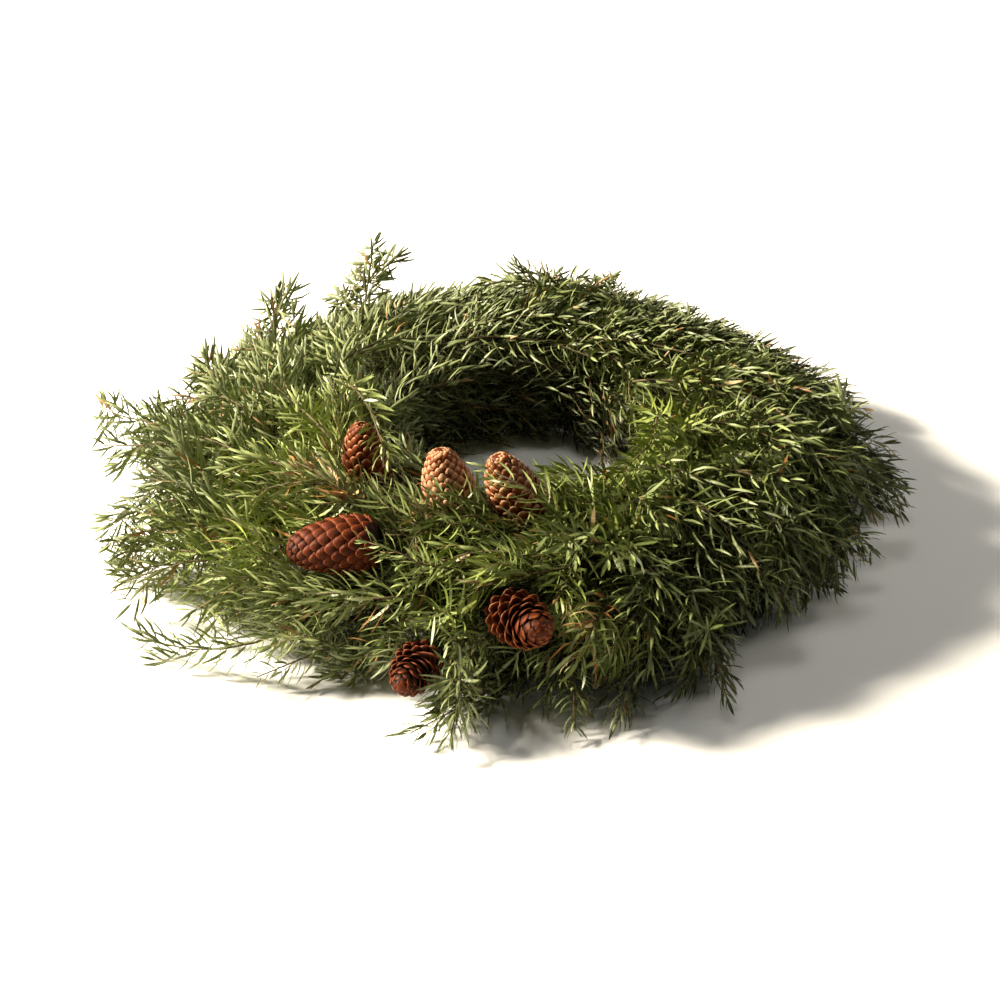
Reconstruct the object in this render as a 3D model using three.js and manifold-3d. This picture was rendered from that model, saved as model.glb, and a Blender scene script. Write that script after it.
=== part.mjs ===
// A fresh evergreen wreath, lying flat: a bound straw ring that carries leafy sprays in bundles,
// each bundle held down by one turn of wire, with six wired conifer cones set in among them.
// Millimetres and degrees, +Z up. Azimuth 0 is the wreath's right side and 90 its back.

import * as THREE from 'three';
import { mergeVertices } from 'three/addons/utils/BufferGeometryUtils.js';
import Module from 'manifold-3d';

const wasm = await Module();
wasm.setup();

// Straw ring: a round section with a flat underside
const RING_RADIUS = 135;
const RING_TUBE = 31;
const RING_CENTRE_HEIGHT = 28.5;
const RING_FACETS = 32;
const SECTION_FACETS = 8;

// Binding wire, one turn between each bundle and the next
const BUNDLES = 12;
const WIRE_RADIUS = 0.9;
const WIRE_SEAT = 1.6;
const WIRE_REACH_UNDER = 8;
const WIRE_HEIGHT_UNDER = 1.2;
const WIRE_SIDES = 3;
const GROOVE_RADIUS = 2.4;

// The hole in the middle stays open to this radius
const HOLE_RADIUS = 71;

// Leafy sprays
const RANDOM_SEED = 22;
const STEM = { bare: 20, start: 0, rootRadius: 1.6, tipRadius: 1.2 };
const STEM_STEPS = 6;
const LOWEST_STEM = 5;
const ROOM_OVER_STRAW = 7;
const STEM_DEPTH_IN_RING = 13;
const STEM_HOLE_RADIUS = 2.6;
const HOLE_SIDES = 4;
const HOLE_MARGIN = { deep: 0.5, open: 6 };
const LEFT_REACH = 0.07;
const FRONT_REACH = 0.035;
const TWIG = { bare: 15, start: 5, rootRadius: 1.25, tipRadius: 1.1 };
const TWIG_ANGLE = 42;
const TWIG_DROOP = 0.2;
const TWIGS = [
  { along: 0.26, side: 1, length: 56 },
  { along: 0.46, side: -1, length: 50 },
  { along: 0.66, side: 1, length: 40 },
];

// Needles stand in whorls of three. Near the end of a branch they close in round its tip. A needle
// that would touch something leans another way: first more or less open, then to one side
const NEEDLE_LENGTH = 20;
const NEEDLE_WIDTH = 2.2;
const NEEDLE_ANGLE = 46;
const LAST_WHORL = { after: 0.97, angle: 28 };
const TIP_NEEDLE_LENGTH = 18;
const OTHER_WAYS = [[0, 0], [12, 0], [-14, 0], [0, 24], [0, -24], [10, 38], [10, -38]];
const WHORL_SPACING = 26;
const ROOM_FOR_TWIG = 0.4 * WHORL_SPACING;
const CLEARANCE = 0.5;

// Five lanes of sprays, from the outer foot of the wreath over its crown to the inner wall.
// first: azimuth of the first root. section: where on the ring's round the stems go in, 0 outward
// and 90 up. advance: how far clockwise the tip lies from the root. bend: how far the stem runs on
// in its first direction. lean: how far that direction turns from straight out to clockwise.
const LANES = [
  {
    name: 'skirt', count: 12, first: 15, section: 4, advance: 24, radius: 274, height: 14,
    bend: 62, lean: 28, twigReach: 1.2,
  },
  {
    name: 'shoulder', count: 12, first: 15, section: 44, advance: 39, radius: 246, height: 50,
    bend: 66, lean: 34, twigReach: 1.1,
  },
  {
    name: 'crown', count: 8, first: 22.5, section: 86, advance: 42, radius: 186, height: 81,
    bend: 62, lean: 48, twigReach: 1.1,
  },
  {
    name: 'collar', count: 6, first: 15, section: 126, advance: 58, radius: 108, height: 74,
    bend: 52, lean: 66, twigReach: 1,
  },
  {
    name: 'lining', count: 6, first: 45, section: 176, advance: 52, radius: 90, height: 27,
    bend: 40, lean: 72, twigReach: 0.7,
  },
];

// Sprays that the florist set to stand out of their lane
const SET_OUT = {
  crown_spray_04: { radius: 230, height: 102, advance: 44 },
  shoulder_spray_06: { radius: 240, height: 80, advance: 34 },
  skirt_spray_01: { advance: 17 },
  skirt_spray_10: { radius: 280, advance: 29, section: -8, height: 8 },
  skirt_spray_12: { radius: 252 },
  shoulder_spray_10: { advance: 12, radius: 228 },
  shoulder_spray_11: { advance: 30 },
  crown_spray_06: { first: 49, section: 52, radius: 170, advance: 36 },
  lining_spray_04: { twigReach: 0.8 },
  lining_spray_06: { height: 24 },
};

// Conifer cones: middle, direction of the apex, size against the largest, and where the pick
// that holds each one enters the ring
const CONE_LENGTH = 62;
const CONE_WIDTH = 40;
const CONE_BLUNTNESS = 0.09;
const CONE_LOW_BELLY = 0.72;
const CONE_FULLNESS = 0.62;
const FIRST_SCALE_ROW = 0.35;
const CONE_ROWS = 7;
const SCALES_ROUND = 7;
const SCALE_RELIEF = 2.6;
const SCALE_HOLLOW = 0.2;
const PICK_RADIUS = 0.9;
const PICK_SIDES = 4;
const PICK_GAP = 0.4;
const PICK_STRAIGHT = 1.6;
const PICK_OVER_STRAW = 2;
const PICK_DEPTH = 12;
const ROOM_ROUND_CONE = 6;
const CONES = [
  { name: 'cone_1', middle: [-127, -181, 77], apex: [-0.97, 0.1, -0.18], size: 1, azimuth: 238, section: 48 },
  { name: 'cone_2', middle: [-53, -136, 92], apex: [-0.2, 0.1, 0.97], size: 0.97, azimuth: 251, section: 71 },
  { name: 'cone_3', middle: [-10, -147, 97], apex: [-0.4, 0, 0.92], size: 0.97, azimuth: 269, section: 96 },
  { name: 'cone_4', middle: [-110, -92, 89], apex: [-0.1, 0.12, 0.98], size: 0.86, azimuth: 222, section: 76 },
  { name: 'cone_5', middle: [-4, -249, 64], apex: [0.42, -0.85, 0.3], size: 0.94, azimuth: 266, section: 20 },
  { name: 'cone_6', middle: [-74, -262, 35], apex: [-0.25, -0.95, 0.18], size: 0.8, azimuth: 263, section: -6 },
];

const radians = THREE.MathUtils.degToRad;

function polar(azimuth, radius, height) {
  const angle = radians(azimuth);
  return new THREE.Vector3(radius * Math.cos(angle), radius * Math.sin(angle), height);
}

// A point by its place on the ring's round: azimuth, section angle and distance from the middle
function ringPoint(azimuth, section, distance) {
  const angle = radians(section);
  const radius = RING_RADIUS + distance * Math.cos(angle);
  return polar(azimuth, radius, RING_CENTRE_HEIGHT + distance * Math.sin(angle));
}

function clockwise(azimuth) {
  return polar(azimuth - 90, 1, 0);
}

// Direction away from the ring's centre line, at any point
function outward(point) {
  const azimuth = THREE.MathUtils.radToDeg(Math.atan2(point.y, point.x));
  return point.clone().sub(polar(azimuth, RING_RADIUS, RING_CENTRE_HEIGHT)).normalize();
}

function ringDistance(point) {
  const flat = Math.hypot(point.x, point.y) - RING_RADIUS;
  return Math.hypot(flat, point.z - RING_CENTRE_HEIGHT);
}

// Repeatable random numbers
let seed = RANDOM_SEED;
function random() {
  seed = (seed * 16807) % 2147483647;
  return seed / 2147483647;
}

function spread(amount) {
  return (random() * 2 - 1) * amount;
}

function closedGeometry(points, triangles) {
  const geometry = new THREE.BufferGeometry();
  geometry.setAttribute('position', new THREE.Float32BufferAttribute(points.flatMap((p) => p.toArray()), 3));
  geometry.setIndex(triangles.flat());
  return geometry;
}

// Two directions square to a line and to each other
function crossAxes(direction, previous) {
  const guide = previous ?? new THREE.Vector3(0.31, 0.17, 0.93);
  const first = guide.clone().addScaledVector(direction, -guide.dot(direction)).normalize();
  return [first, new THREE.Vector3().crossVectors(direction, first)];
}

function directionAt(points, i, closed) {
  const last = points.length - 1;
  const before = closed ? points[(i + last) % points.length] : points[Math.max(i - 1, 0)];
  const after = closed ? points[(i + 1) % points.length] : points[Math.min(i + 1, last)];
  return after.clone().sub(before).normalize();
}

// Rings of corners round a line of points, turned as little as possible from one to the next
function cornersAlong(points, radii, sides, closed) {
  let first = null;
  return points.flatMap((point, i) => {
    let second;
    [first, second] = crossAxes(directionAt(points, i, closed), first);
    return Array.from({ length: sides }, (_, k) => {
      const angle = (2 * Math.PI * k) / sides;
      return point.clone()
        .addScaledVector(first, radii[i] * Math.cos(angle))
        .addScaledVector(second, radii[i] * Math.sin(angle));
    });
  });
}

function bandTriangles(lower, upper, sides) {
  const triangles = [];
  for (let k = 0; k < sides; k += 1) {
    const next = (k + 1) % sides;
    triangles.push([lower + k, lower + next, upper + next], [lower + k, upper + next, upper + k]);
  }
  return triangles;
}

// A rod of round-ish section along a line of points, closed by flat ends
function rod(points, radii, sides) {
  const triangles = [];
  const last = (points.length - 1) * sides;
  for (let i = 0; i < points.length - 1; i += 1) {
    triangles.push(...bandTriangles(i * sides, (i + 1) * sides, sides));
  }
  for (let k = 1; k < sides - 1; k += 1) {
    triangles.push([0, k + 1, k], [last, last + k, last + k + 1]);
  }
  return closedGeometry(cornersAlong(points, radii, sides, false), triangles);
}

// The same along a loop that closes on itself. The last band is turned to meet the first
function loopRod(points, radius, sides) {
  const radii = points.map(() => radius);
  const corners = cornersAlong(points, radii, sides, true);
  const last = (points.length - 1) * sides;
  const distance = (k) => corners[last].distanceTo(corners[k]);
  const start = Array.from({ length: sides }, (_, k) => k).sort((a, b) => distance(a) - distance(b))[0];
  const triangles = [];
  for (let i = 0; i < points.length - 1; i += 1) {
    triangles.push(...bandTriangles(i * sides, (i + 1) * sides, sides));
  }
  for (let k = 0; k < sides; k += 1) {
    const next = (k + 1) % sides;
    const here = (start + k) % sides;
    const there = (start + next) % sides;
    triangles.push([last + k, last + next, there], [last + k, there, here]);
  }
  return closedGeometry(corners, triangles);
}

function toSolid(geometry) {
  const plain = geometry.clone();
  plain.deleteAttribute('normal');
  plain.deleteAttribute('uv');
  const merged = mergeVertices(plain);
  return new wasm.Manifold(new wasm.Mesh({
    numProp: 3,
    vertProperties: new Float32Array(merged.attributes.position.array),
    triVerts: new Uint32Array(merged.index.array),
  }));
}

function toGeometry(solid) {
  const mesh = solid.getMesh();
  const geometry = new THREE.BufferGeometry();
  geometry.setAttribute('position', new THREE.Float32BufferAttribute(mesh.vertProperties, 3));
  geometry.setIndex(Array.from(mesh.triVerts));
  geometry.computeVertexNormals();
  return geometry;
}

// Straw ring

function sectionAngles() {
  const edge = THREE.MathUtils.radToDeg(Math.asin(RING_CENTRE_HEIGHT / RING_TUBE));
  const step = (180 + 2 * edge) / SECTION_FACETS;
  return Array.from({ length: SECTION_FACETS + 1 }, (_, i) => step * i - edge);
}

function ringBody() {
  const corners = sectionAngles().map((section) => ringPoint(0, section, RING_TUBE));
  const profile = corners.map((corner) => new THREE.Vector2(corner.x, corner.z));
  const lathe = new THREE.LatheGeometry([...profile, profile[0]], RING_FACETS);
  return lathe.rotateX(Math.PI / 2);
}

// Binding wire: it advances by one bundle each time it goes round the straw

function wirePoint(turn, section) {
  const azimuth = (turn + section / 360) * (360 / BUNDLES);
  if (section > sectionAngles()[0] && section < sectionAngles()[SECTION_FACETS]) {
    return ringPoint(azimuth, section, RING_TUBE + WIRE_SEAT);
  }
  return ringPoint(azimuth, section, RING_TUBE + WIRE_REACH_UNDER).setZ(WIRE_HEIGHT_UNDER);
}

function wirePath() {
  const turns = Array.from({ length: BUNDLES }, (_, turn) => turn);
  return turns.flatMap((turn) => sectionAngles().map((section) => wirePoint(turn, section)));
}

// Straight grooves across the flat underside, where the wire bites into the straw
function wireGrooves() {
  const angles = sectionAngles();
  return Array.from({ length: BUNDLES }, (_, turn) => {
    const path = [wirePoint(turn, angles[SECTION_FACETS]), wirePoint(turn + 1, angles[0])];
    return rod(path, [GROOVE_RADIUS, GROOVE_RADIUS], HOLE_SIDES);
  });
}

// Cones and the picks that hold them

function coneAxis(cone) {
  const middle = new THREE.Vector3(...cone.middle);
  const direction = new THREE.Vector3(...cone.apex).normalize();
  return {
    base: middle.clone().addScaledVector(direction, (-cone.size * CONE_LENGTH) / 2),
    apex: middle.clone().addScaledVector(direction, (cone.size * CONE_LENGTH) / 2),
    direction,
    halfWidth: (cone.size * CONE_WIDTH) / 2,
  };
}

// Half width of a closed cone along its length: blunt base, fullest a third of the way up
function coneHalfWidth(along) {
  const fromBase = CONE_BLUNTNESS + (1 - CONE_BLUNTNESS) * along;
  const swell = Math.sin(Math.PI * fromBase ** CONE_LOW_BELLY) ** CONE_FULLNESS;
  return (CONE_WIDTH / 2 - SCALE_RELIEF) * swell;
}

// Overlapping scales as relief: each row's rims stand out, half a scale further round than the last
function scaleRim(row, column) {
  const onScale = (row % 4 < 2) === (column % 2 === 0);
  const rim = row % 2 === 1;
  if (!rim) return 0;
  return onScale ? SCALE_RELIEF : -SCALE_HOLLOW * SCALE_RELIEF;
}

function coneBody(cone) {
  const { base, apex, direction } = coneAxis(cone);
  const [first, second] = crossAxes(direction);
  const rows = CONE_ROWS * 2;
  const columns = SCALES_ROUND * 2;
  const points = [];
  for (let row = 0; row < rows; row += 1) {
    const along = (row + FIRST_SCALE_ROW) / rows;
    for (let column = 0; column < columns; column += 1) {
      const angle = (2 * Math.PI * column) / columns;
      const radius = cone.size * (coneHalfWidth(along) + scaleRim(row, column));
      points.push(base.clone().lerp(apex, along)
        .addScaledVector(first, radius * Math.cos(angle))
        .addScaledVector(second, radius * Math.sin(angle)));
    }
  }
  const triangles = [];
  for (let row = 0; row < rows - 1; row += 1) {
    triangles.push(...bandTriangles(row * columns, (row + 1) * columns, columns));
  }
  return closeWithPoints(points, triangles, base, apex, columns);
}

function closeWithPoints(points, triangles, start, end, sides) {
  const last = points.length - sides;
  const startIndex = points.length;
  points.push(start, end);
  for (let k = 0; k < sides; k += 1) {
    const next = (k + 1) % sides;
    triangles.push([startIndex, next, k], [startIndex + 1, last + k, last + next]);
  }
  return closedGeometry(points, triangles);
}

function pickPath(cone) {
  const { base, direction } = coneAxis(cone);
  return [
    base.clone().addScaledVector(direction, -PICK_GAP),
    base.clone().addScaledVector(direction, -PICK_STRAIGHT),
    ringPoint(cone.azimuth, cone.section, RING_TUBE + PICK_OVER_STRAW),
    ringPoint(cone.azimuth, cone.section, RING_TUBE - PICK_DEPTH),
  ];
}

// Sprays

// A point too near a cone moves straight out from the cone's axis, then off the straw and the table
function bentClear(point) {
  const moved = point.clone();
  for (const cone of CONES) {
    const { base, apex, halfWidth } = coneAxis(cone);
    const clear = halfWidth + ROOM_ROUND_CONE;
    const nearest = new THREE.Line3(base, apex).closestPointToPoint(moved, true, new THREE.Vector3());
    const away = moved.clone().sub(nearest);
    if (away.length() < clear) {
      moved.copy(nearest).addScaledVector(away.normalize(), clear);
    }
  }
  const offStraw = RING_TUBE + ROOM_OVER_STRAW - ringDistance(moved);
  if (offStraw > 0) moved.addScaledVector(outward(moved), offStraw);
  return moved.setZ(Math.max(moved.z, LOWEST_STEM));
}

// The foliage reaches further to the left and the front than to the right and the back
function sideReach(azimuth) {
  return 1 - LEFT_REACH * Math.cos(radians(azimuth)) - FRONT_REACH * Math.sin(radians(azimuth));
}

function sprayStem(lane, index) {
  const azimuth = lane.first + (360 / lane.count) * index + lane.section / BUNDLES + spread(2);
  const section = lane.section + spread(4);
  const tipAzimuth = azimuth - lane.advance + spread(3);
  const reach = lane.radius > RING_RADIUS ? sideReach(tipAzimuth) : 1;
  const tip = polar(tipAzimuth, lane.radius * reach + spread(7), lane.height + spread(5));
  const root = ringPoint(azimuth, section, RING_TUBE);
  const lean = radians(lane.lean);
  const start = outward(root).multiplyScalar(Math.cos(lean)).addScaledVector(clockwise(azimuth), Math.sin(lean));
  const bend = root.clone().addScaledVector(start, lane.bend);
  return { curve: new THREE.QuadraticBezierCurve3(root, bend, tip), start, root };
}

// A smooth line through the stem's points, each moved clear of the cones, the straw and the table
function stemLine(curve) {
  const points = curve.getPoints(STEM_STEPS).map((point, i) => (i === 0 ? point : bentClear(point)));
  return new THREE.CatmullRomCurve3(points, false, 'catmullrom', 0.5);
}

// Side twigs leave the stem to the left and right along the wreath's surface, and droop a little
function twigLine(stem, along, side, length) {
  const point = stem.getPointAt(along);
  const tangent = stem.getTangentAt(along);
  const across = new THREE.Vector3().crossVectors(tangent, outward(point)).normalize().multiplyScalar(side);
  const angle = radians(TWIG_ANGLE);
  const middle = point.clone()
    .addScaledVector(tangent, 0.5 * length * Math.cos(angle))
    .addScaledVector(across, 0.5 * length * Math.sin(angle));
  const end = middle.clone()
    .addScaledVector(tangent, 0.5 * length * Math.cos(angle / 2))
    .addScaledVector(across, 0.5 * length * Math.sin(angle / 2));
  end.z -= TWIG_DROOP * length;
  return new THREE.CatmullRomCurve3([point, bentClear(middle), bentClear(end)], false, 'catmullrom', 0.5);
}

// A branch is a line of stations. A whorl is two stations a needle's width apart, between which
// needles grow, and so do the twigs, whose whorls take the place of the nearest others
function branchStations(line, { bare, start, rootRadius, tipRadius }, twigs) {
  const length = line.getLength();
  const first = Math.min(bare, length / 2);
  const last = length - NEEDLE_WIDTH;
  const count = Math.max(Math.round((last - first) / WHORL_SPACING), 1);
  const spacing = (last - first) / count;
  const plain = Array.from({ length: count + 1 }, (_, i) => ({ distance: first + spacing * i }));
  const shoots = twigs.map((twig) => ({ distance: twig.along * length, twig }));
  const free = plain.filter(({ distance }) => (
    shoots.every((shoot) => Math.abs(shoot.distance - distance) > ROOM_FOR_TWIG)
  ));
  const whorls = [...free, ...shoots].sort((a, b) => a.distance - b.distance);
  const places = whorls.flatMap(({ distance, twig }) => [
    { distance, twig, whorl: true },
    { distance: distance + NEEDLE_WIDTH },
  ]);
  return [{ distance: start }, ...places].map((place) => {
    const along = Math.min(place.distance / length, 1);
    return {
      ...place,
      along,
      point: line.getPointAt(along),
      direction: line.getTangentAt(along),
      radius: rootRadius + (tipRadius - rootRadius) * along,
    };
  });
}

// The turn that sets the middle of a face towards a twig, nearest to the turn that would come next
function turnFacing(towards, first, second, next) {
  const angle = THREE.MathUtils.radToDeg(Math.atan2(towards.dot(second), towards.dot(first))) - 60;
  return angle + 120 * Math.round((next - angle) / 120);
}

// Three corners round each station. A whorl's faces look between the last one's, or to its twig
function branchRings(stations) {
  let first = null;
  let turn = 0;
  return stations.map(({ point, direction, radius, whorl, twig }) => {
    let second;
    [first, second] = crossAxes(direction, first);
    if (whorl) turn = twig ? turnFacing(twig.towards, first, second, turn - 60) : turn - 60;
    return [0, 120, 240].map((corner) => {
      const angle = radians(corner + turn);
      return point.clone()
        .addScaledVector(first, radius * Math.cos(angle))
        .addScaledVector(second, radius * Math.sin(angle));
    });
  });
}

function makeBranch(line, sizes, twigs) {
  const stations = branchStations(line, sizes, twigs);
  return { stations, rings: branchRings(stations), growth: new Map() };
}

function makeTwig(stem, { along, side, length }) {
  const line = twigLine(stem, along, side, length);
  return { along, towards: line.getTangentAt(0), branch: makeBranch(line, TWIG, []) };
}

function makeSpray(laneRule, index) {
  const name = `${laneRule.name}_spray_${String(index + 1).padStart(2, '0')}`;
  const lane = { ...laneRule, ...SET_OUT[name] };
  const { curve, root, start } = sprayStem(lane, index);
  const line = stemLine(curve);
  const twigs = TWIGS.map((twig) => makeTwig(line, { ...twig, length: twig.length * lane.twigReach }));
  const main = makeBranch(line, STEM, twigs);
  const intoRing = (point) => point.clone().addScaledVector(start, -STEM_DEPTH_IN_RING);
  const inRing = intoRing(root);
  main.stations.unshift({ point: inRing, direction: start, along: 0 });
  main.rings.unshift(main.rings[0].map(intoRing));
  return { name, hole: [inRing, root], branches: [main, ...twigs.map((twig) => twig.branch)] };
}

// Least distance between two straight stretches
function stretchGap(a, b, c, d) {
  const u = b.clone().sub(a);
  const v = d.clone().sub(c);
  const w = a.clone().sub(c);
  const uu = u.dot(u);
  const uv = u.dot(v);
  const vv = v.dot(v);
  const uw = u.dot(w);
  const vw = v.dot(w);
  const slope = uu * vv - uv * uv;
  const clamp = THREE.MathUtils.clamp;
  let s = slope > 1e-6 ? clamp((uv * vw - vv * uw) / slope, 0, 1) : 0;
  const t = clamp((uv * s + vw) / vv, 0, 1);
  s = clamp((uv * t - uw) / uu, 0, 1);
  return w.addScaledVector(u, s).addScaledVector(v, -t).length();
}

function stretches(points, radius) {
  return points.slice(1).map((to, i) => ({ from: points[i], to, radius }));
}

// A needle stays off the straw and its wire, above the table, out of the hole and clear of the rest
function hasRoom(from, to, others) {
  const middle = from.clone().lerp(to, 0.5);
  const strawRoom = RING_TUBE + WIRE_SEAT + WIRE_RADIUS + CLEARANCE;
  const inTheWay = (p) => (
    ringDistance(p) < strawRoom || p.z < CLEARANCE || Math.hypot(p.x, p.y) < HOLE_RADIUS
  );
  if (inTheWay(middle) || inTheWay(to)) return false;
  return others.every((other) => {
    const room = other.radius + NEEDLE_WIDTH / 2 + CLEARANCE;
    if (other.from.distanceTo(middle) > NEEDLE_LENGTH + room + other.from.distanceTo(other.to)) return true;
    return stretchGap(from, to, other.from, other.to) > room;
  });
}

// Where a needle's tip may lie: leaning forward from the face it grows on, else steeper or flatter
function needleTips(root, station, normal) {
  const opening = station.along > LAST_WHORL.after ? LAST_WHORL.angle : NEEDLE_ANGLE;
  const aside = new THREE.Vector3().crossVectors(station.direction, normal);
  return OTHER_WAYS.map(([lift, turn]) => {
    const angle = radians(opening + lift);
    const away = normal.clone().multiplyScalar(Math.cos(radians(turn)))
      .addScaledVector(aside, Math.sin(radians(turn)));
    return root.clone()
      .addScaledVector(station.direction, NEEDLE_LENGTH * Math.cos(angle))
      .addScaledVector(away, NEEDLE_LENGTH * Math.sin(angle));
  });
}

function faceCorners(branch, i, side) {
  const next = (side + 1) % 3;
  return [branch.rings[i][side], branch.rings[i][next], branch.rings[i + 1][next]];
}

function faceMiddle(branch, i, side) {
  const sum = faceCorners(branch, i, side).reduce((total, corner) => total.add(corner), new THREE.Vector3());
  return sum.divideScalar(3);
}

function faceNormal(branch, i, side) {
  const { point, direction } = branch.stations[i];
  return faceMiddle(branch, i, side).sub(point).projectOnPlane(direction).normalize();
}

// Each face of a whorl bears the whorl's twig, where that side looks the twig's way, or a needle
function growWhorls(branch, others) {
  const grown = [];
  branch.stations.forEach((station, i) => {
    if (!station.whorl) return;
    const facing = (side) => faceNormal(branch, i, side).dot(station.twig.towards);
    const twigSide = station.twig ? [0, 1, 2].sort((a, b) => facing(b) - facing(a))[0] : null;
    for (let side = 0; side < 3; side += 1) {
      const root = faceMiddle(branch, i, side);
      const tips = needleTips(root, station, faceNormal(branch, i, side));
      const tip = tips.find((candidate) => hasRoom(root, candidate, others));
      if (side === twigSide) {
        branch.growth.set(`${i} ${side}`, { twig: station.twig.branch });
      } else if (tip) {
        branch.growth.set(`${i} ${side}`, { tip });
        grown.push({ from: root, to: tip, radius: NEEDLE_WIDTH / 2 });
      }
    }
  });
  return grown;
}

function branchTip(stations) {
  const end = stations[stations.length - 1];
  const tip = end.point.clone().addScaledVector(end.direction, TIP_NEEDLE_LENGTH);
  return tip.setZ(Math.max(tip.z, CLEARANCE));
}

// Joins three corners to a ring's three by the shortest edges
function joinCorners(skin, corners, ring) {
  const length = (corner, k) => skin.points[corner].distanceTo(skin.points[ring[k % 3]]);
  const edges = (shift) => corners.reduce((sum, corner, k) => (
    sum + length(corner, k + shift) + length(corner, k + 1 + shift)
  ), 0);
  const shift = [0, 1, 2].sort((a, b) => edges(a) - edges(b))[0];
  for (let k = 0; k < 3; k += 1) {
    const [a, b] = [corners[k], corners[(k + 1) % 3]];
    const [d, c] = [ring[(k + shift) % 3], ring[(k + 1 + shift) % 3]];
    skin.triangles.push([a, b, c], [a, c, d]);
  }
}

function growFromFace(skin, growth, [a, b, c]) {
  if (growth?.twig) {
    addBranchSkin(skin, growth.twig, [a, b, c]);
  } else if (growth?.tip) {
    const apex = skin.points.push(growth.tip) - 1;
    skin.triangles.push([a, b, apex], [b, c, apex], [c, a, apex]);
  } else {
    skin.triangles.push([a, b, c]);
  }
}

// The spray is one skin: a face that bears a needle or a twig is drawn out into it
function addBranchSkin(skin, branch, openCorners) {
  const rings = branch.rings.map((ring) => ring.map((corner) => skin.points.push(corner) - 1));
  if (openCorners) {
    joinCorners(skin, openCorners, rings[0]);
  } else {
    skin.triangles.push([rings[0][0], rings[0][2], rings[0][1]]);
  }
  for (let i = 0; i < rings.length - 1; i += 1) {
    for (let side = 0; side < 3; side += 1) {
      const next = (side + 1) % 3;
      skin.triangles.push([rings[i][side], rings[i + 1][next], rings[i + 1][side]]);
      const face = [rings[i][side], rings[i][next], rings[i + 1][next]];
      growFromFace(skin, branch.growth.get(`${i} ${side}`), face);
    }
  }
  growFromFace(skin, { tip: branchTip(branch.stations) }, rings[rings.length - 1]);
}

function sprayBody(spray) {
  const skin = { points: [], triangles: [] };
  addBranchSkin(skin, spray.branches[0], null);
  return closedGeometry(skin.points, skin.triangles);
}

// A plain hole in the straw for a stem or a pick
function stemHole(from, to, radius) {
  const direction = to.clone().sub(from).normalize();
  const deep = from.clone().addScaledVector(direction, -HOLE_MARGIN.deep);
  const open = to.clone().addScaledVector(direction, HOLE_MARGIN.open);
  return rod([deep, open], [radius, radius], HOLE_SIDES);
}

// Assembly

const paint = (color, roughness) => new THREE.MeshStandardMaterial({ color, roughness, metalness: 0 });
const STRAW = paint(0x6b5a3a, 0.95);
const STEEL_WIRE = new THREE.MeshStandardMaterial({ color: 0x3f4a3c, roughness: 0.5, metalness: 0.8 });
const CONE_SCALES = paint(0x6e3a24, 0.7);
const FOLIAGE = [0x4f6a2f, 0x5c7433, 0x667f3a, 0x475f30, 0x3a4a28].map((color) => paint(color, 0.6));

const sprays = LANES.flatMap((lane) => Array.from({ length: lane.count }, (_, i) => makeSpray(lane, i)));

function branchStretches(branch) {
  const points = branch.stations.map(({ point }) => point);
  return stretches([...points, branchTip(branch.stations)], STEM.rootRadius);
}

const coneStretches = CONES.flatMap((cone) => {
  const { base, apex, halfWidth } = coneAxis(cone);
  return [{ from: base, to: apex, radius: halfWidth }, ...stretches(pickPath(cone), PICK_RADIUS)];
});

const branches = sprays.flatMap((spray) => spray.branches);
const stretchesOf = new Map(branches.map((branch) => [branch, branchStretches(branch)]));
for (const branch of branches) {
  const others = branches.filter((other) => other !== branch).flatMap((other) => stretchesOf.get(other));
  const grown = growWhorls(branch, [...coneStretches, ...others]);
  stretchesOf.get(branch).push(...grown);
}

const holes = [
  ...sprays.map((spray) => stemHole(...spray.hole, STEM_HOLE_RADIUS)),
  ...CONES.map((cone) => stemHole(pickPath(cone)[3], pickPath(cone)[2], STEM_HOLE_RADIUS)),
];
const cuts = [...holes, ...wireGrooves()].map(toSolid);
const ring = cuts.reduce((whole, cut) => whole.subtract(cut), toSolid(ringBody()));

const wreath = new THREE.Group();

function addPiece(name, geometry, material) {
  const mesh = new THREE.Mesh(geometry, material.clone());
  mesh.name = name;
  wreath.add(mesh);
}

addPiece('straw_ring', toGeometry(ring), STRAW);
addPiece('binding_wire', loopRod(wirePath(), WIRE_RADIUS, WIRE_SIDES), STEEL_WIRE);
for (const cone of CONES) {
  addPiece(cone.name, coneBody(cone), CONE_SCALES);
  const path = pickPath(cone);
  addPiece(`${cone.name}_pick`, rod(path, path.map(() => PICK_RADIUS), PICK_SIDES), STEEL_WIRE);
}
for (const spray of sprays) {
  const lane = LANES.findIndex(({ name }) => spray.name.startsWith(name));
  addPiece(spray.name, sprayBody(spray), FOLIAGE[lane]);
}

// The wreath stands on the table, with the middle of its whole spread at the origin
const extent = new THREE.Box3().setFromObject(wreath);
const middle = extent.getCenter(new THREE.Vector3());
wreath.position.set(-middle.x, -middle.y, -extent.min.z);

export default wreath;
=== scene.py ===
# A fresh evergreen wreath, lying flat. Millimetres are used throughout and turned to metres where a
# mesh is made. Azimuth 0 is the wreath's right side and 90 its back, both seen from the front.

import math

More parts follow.
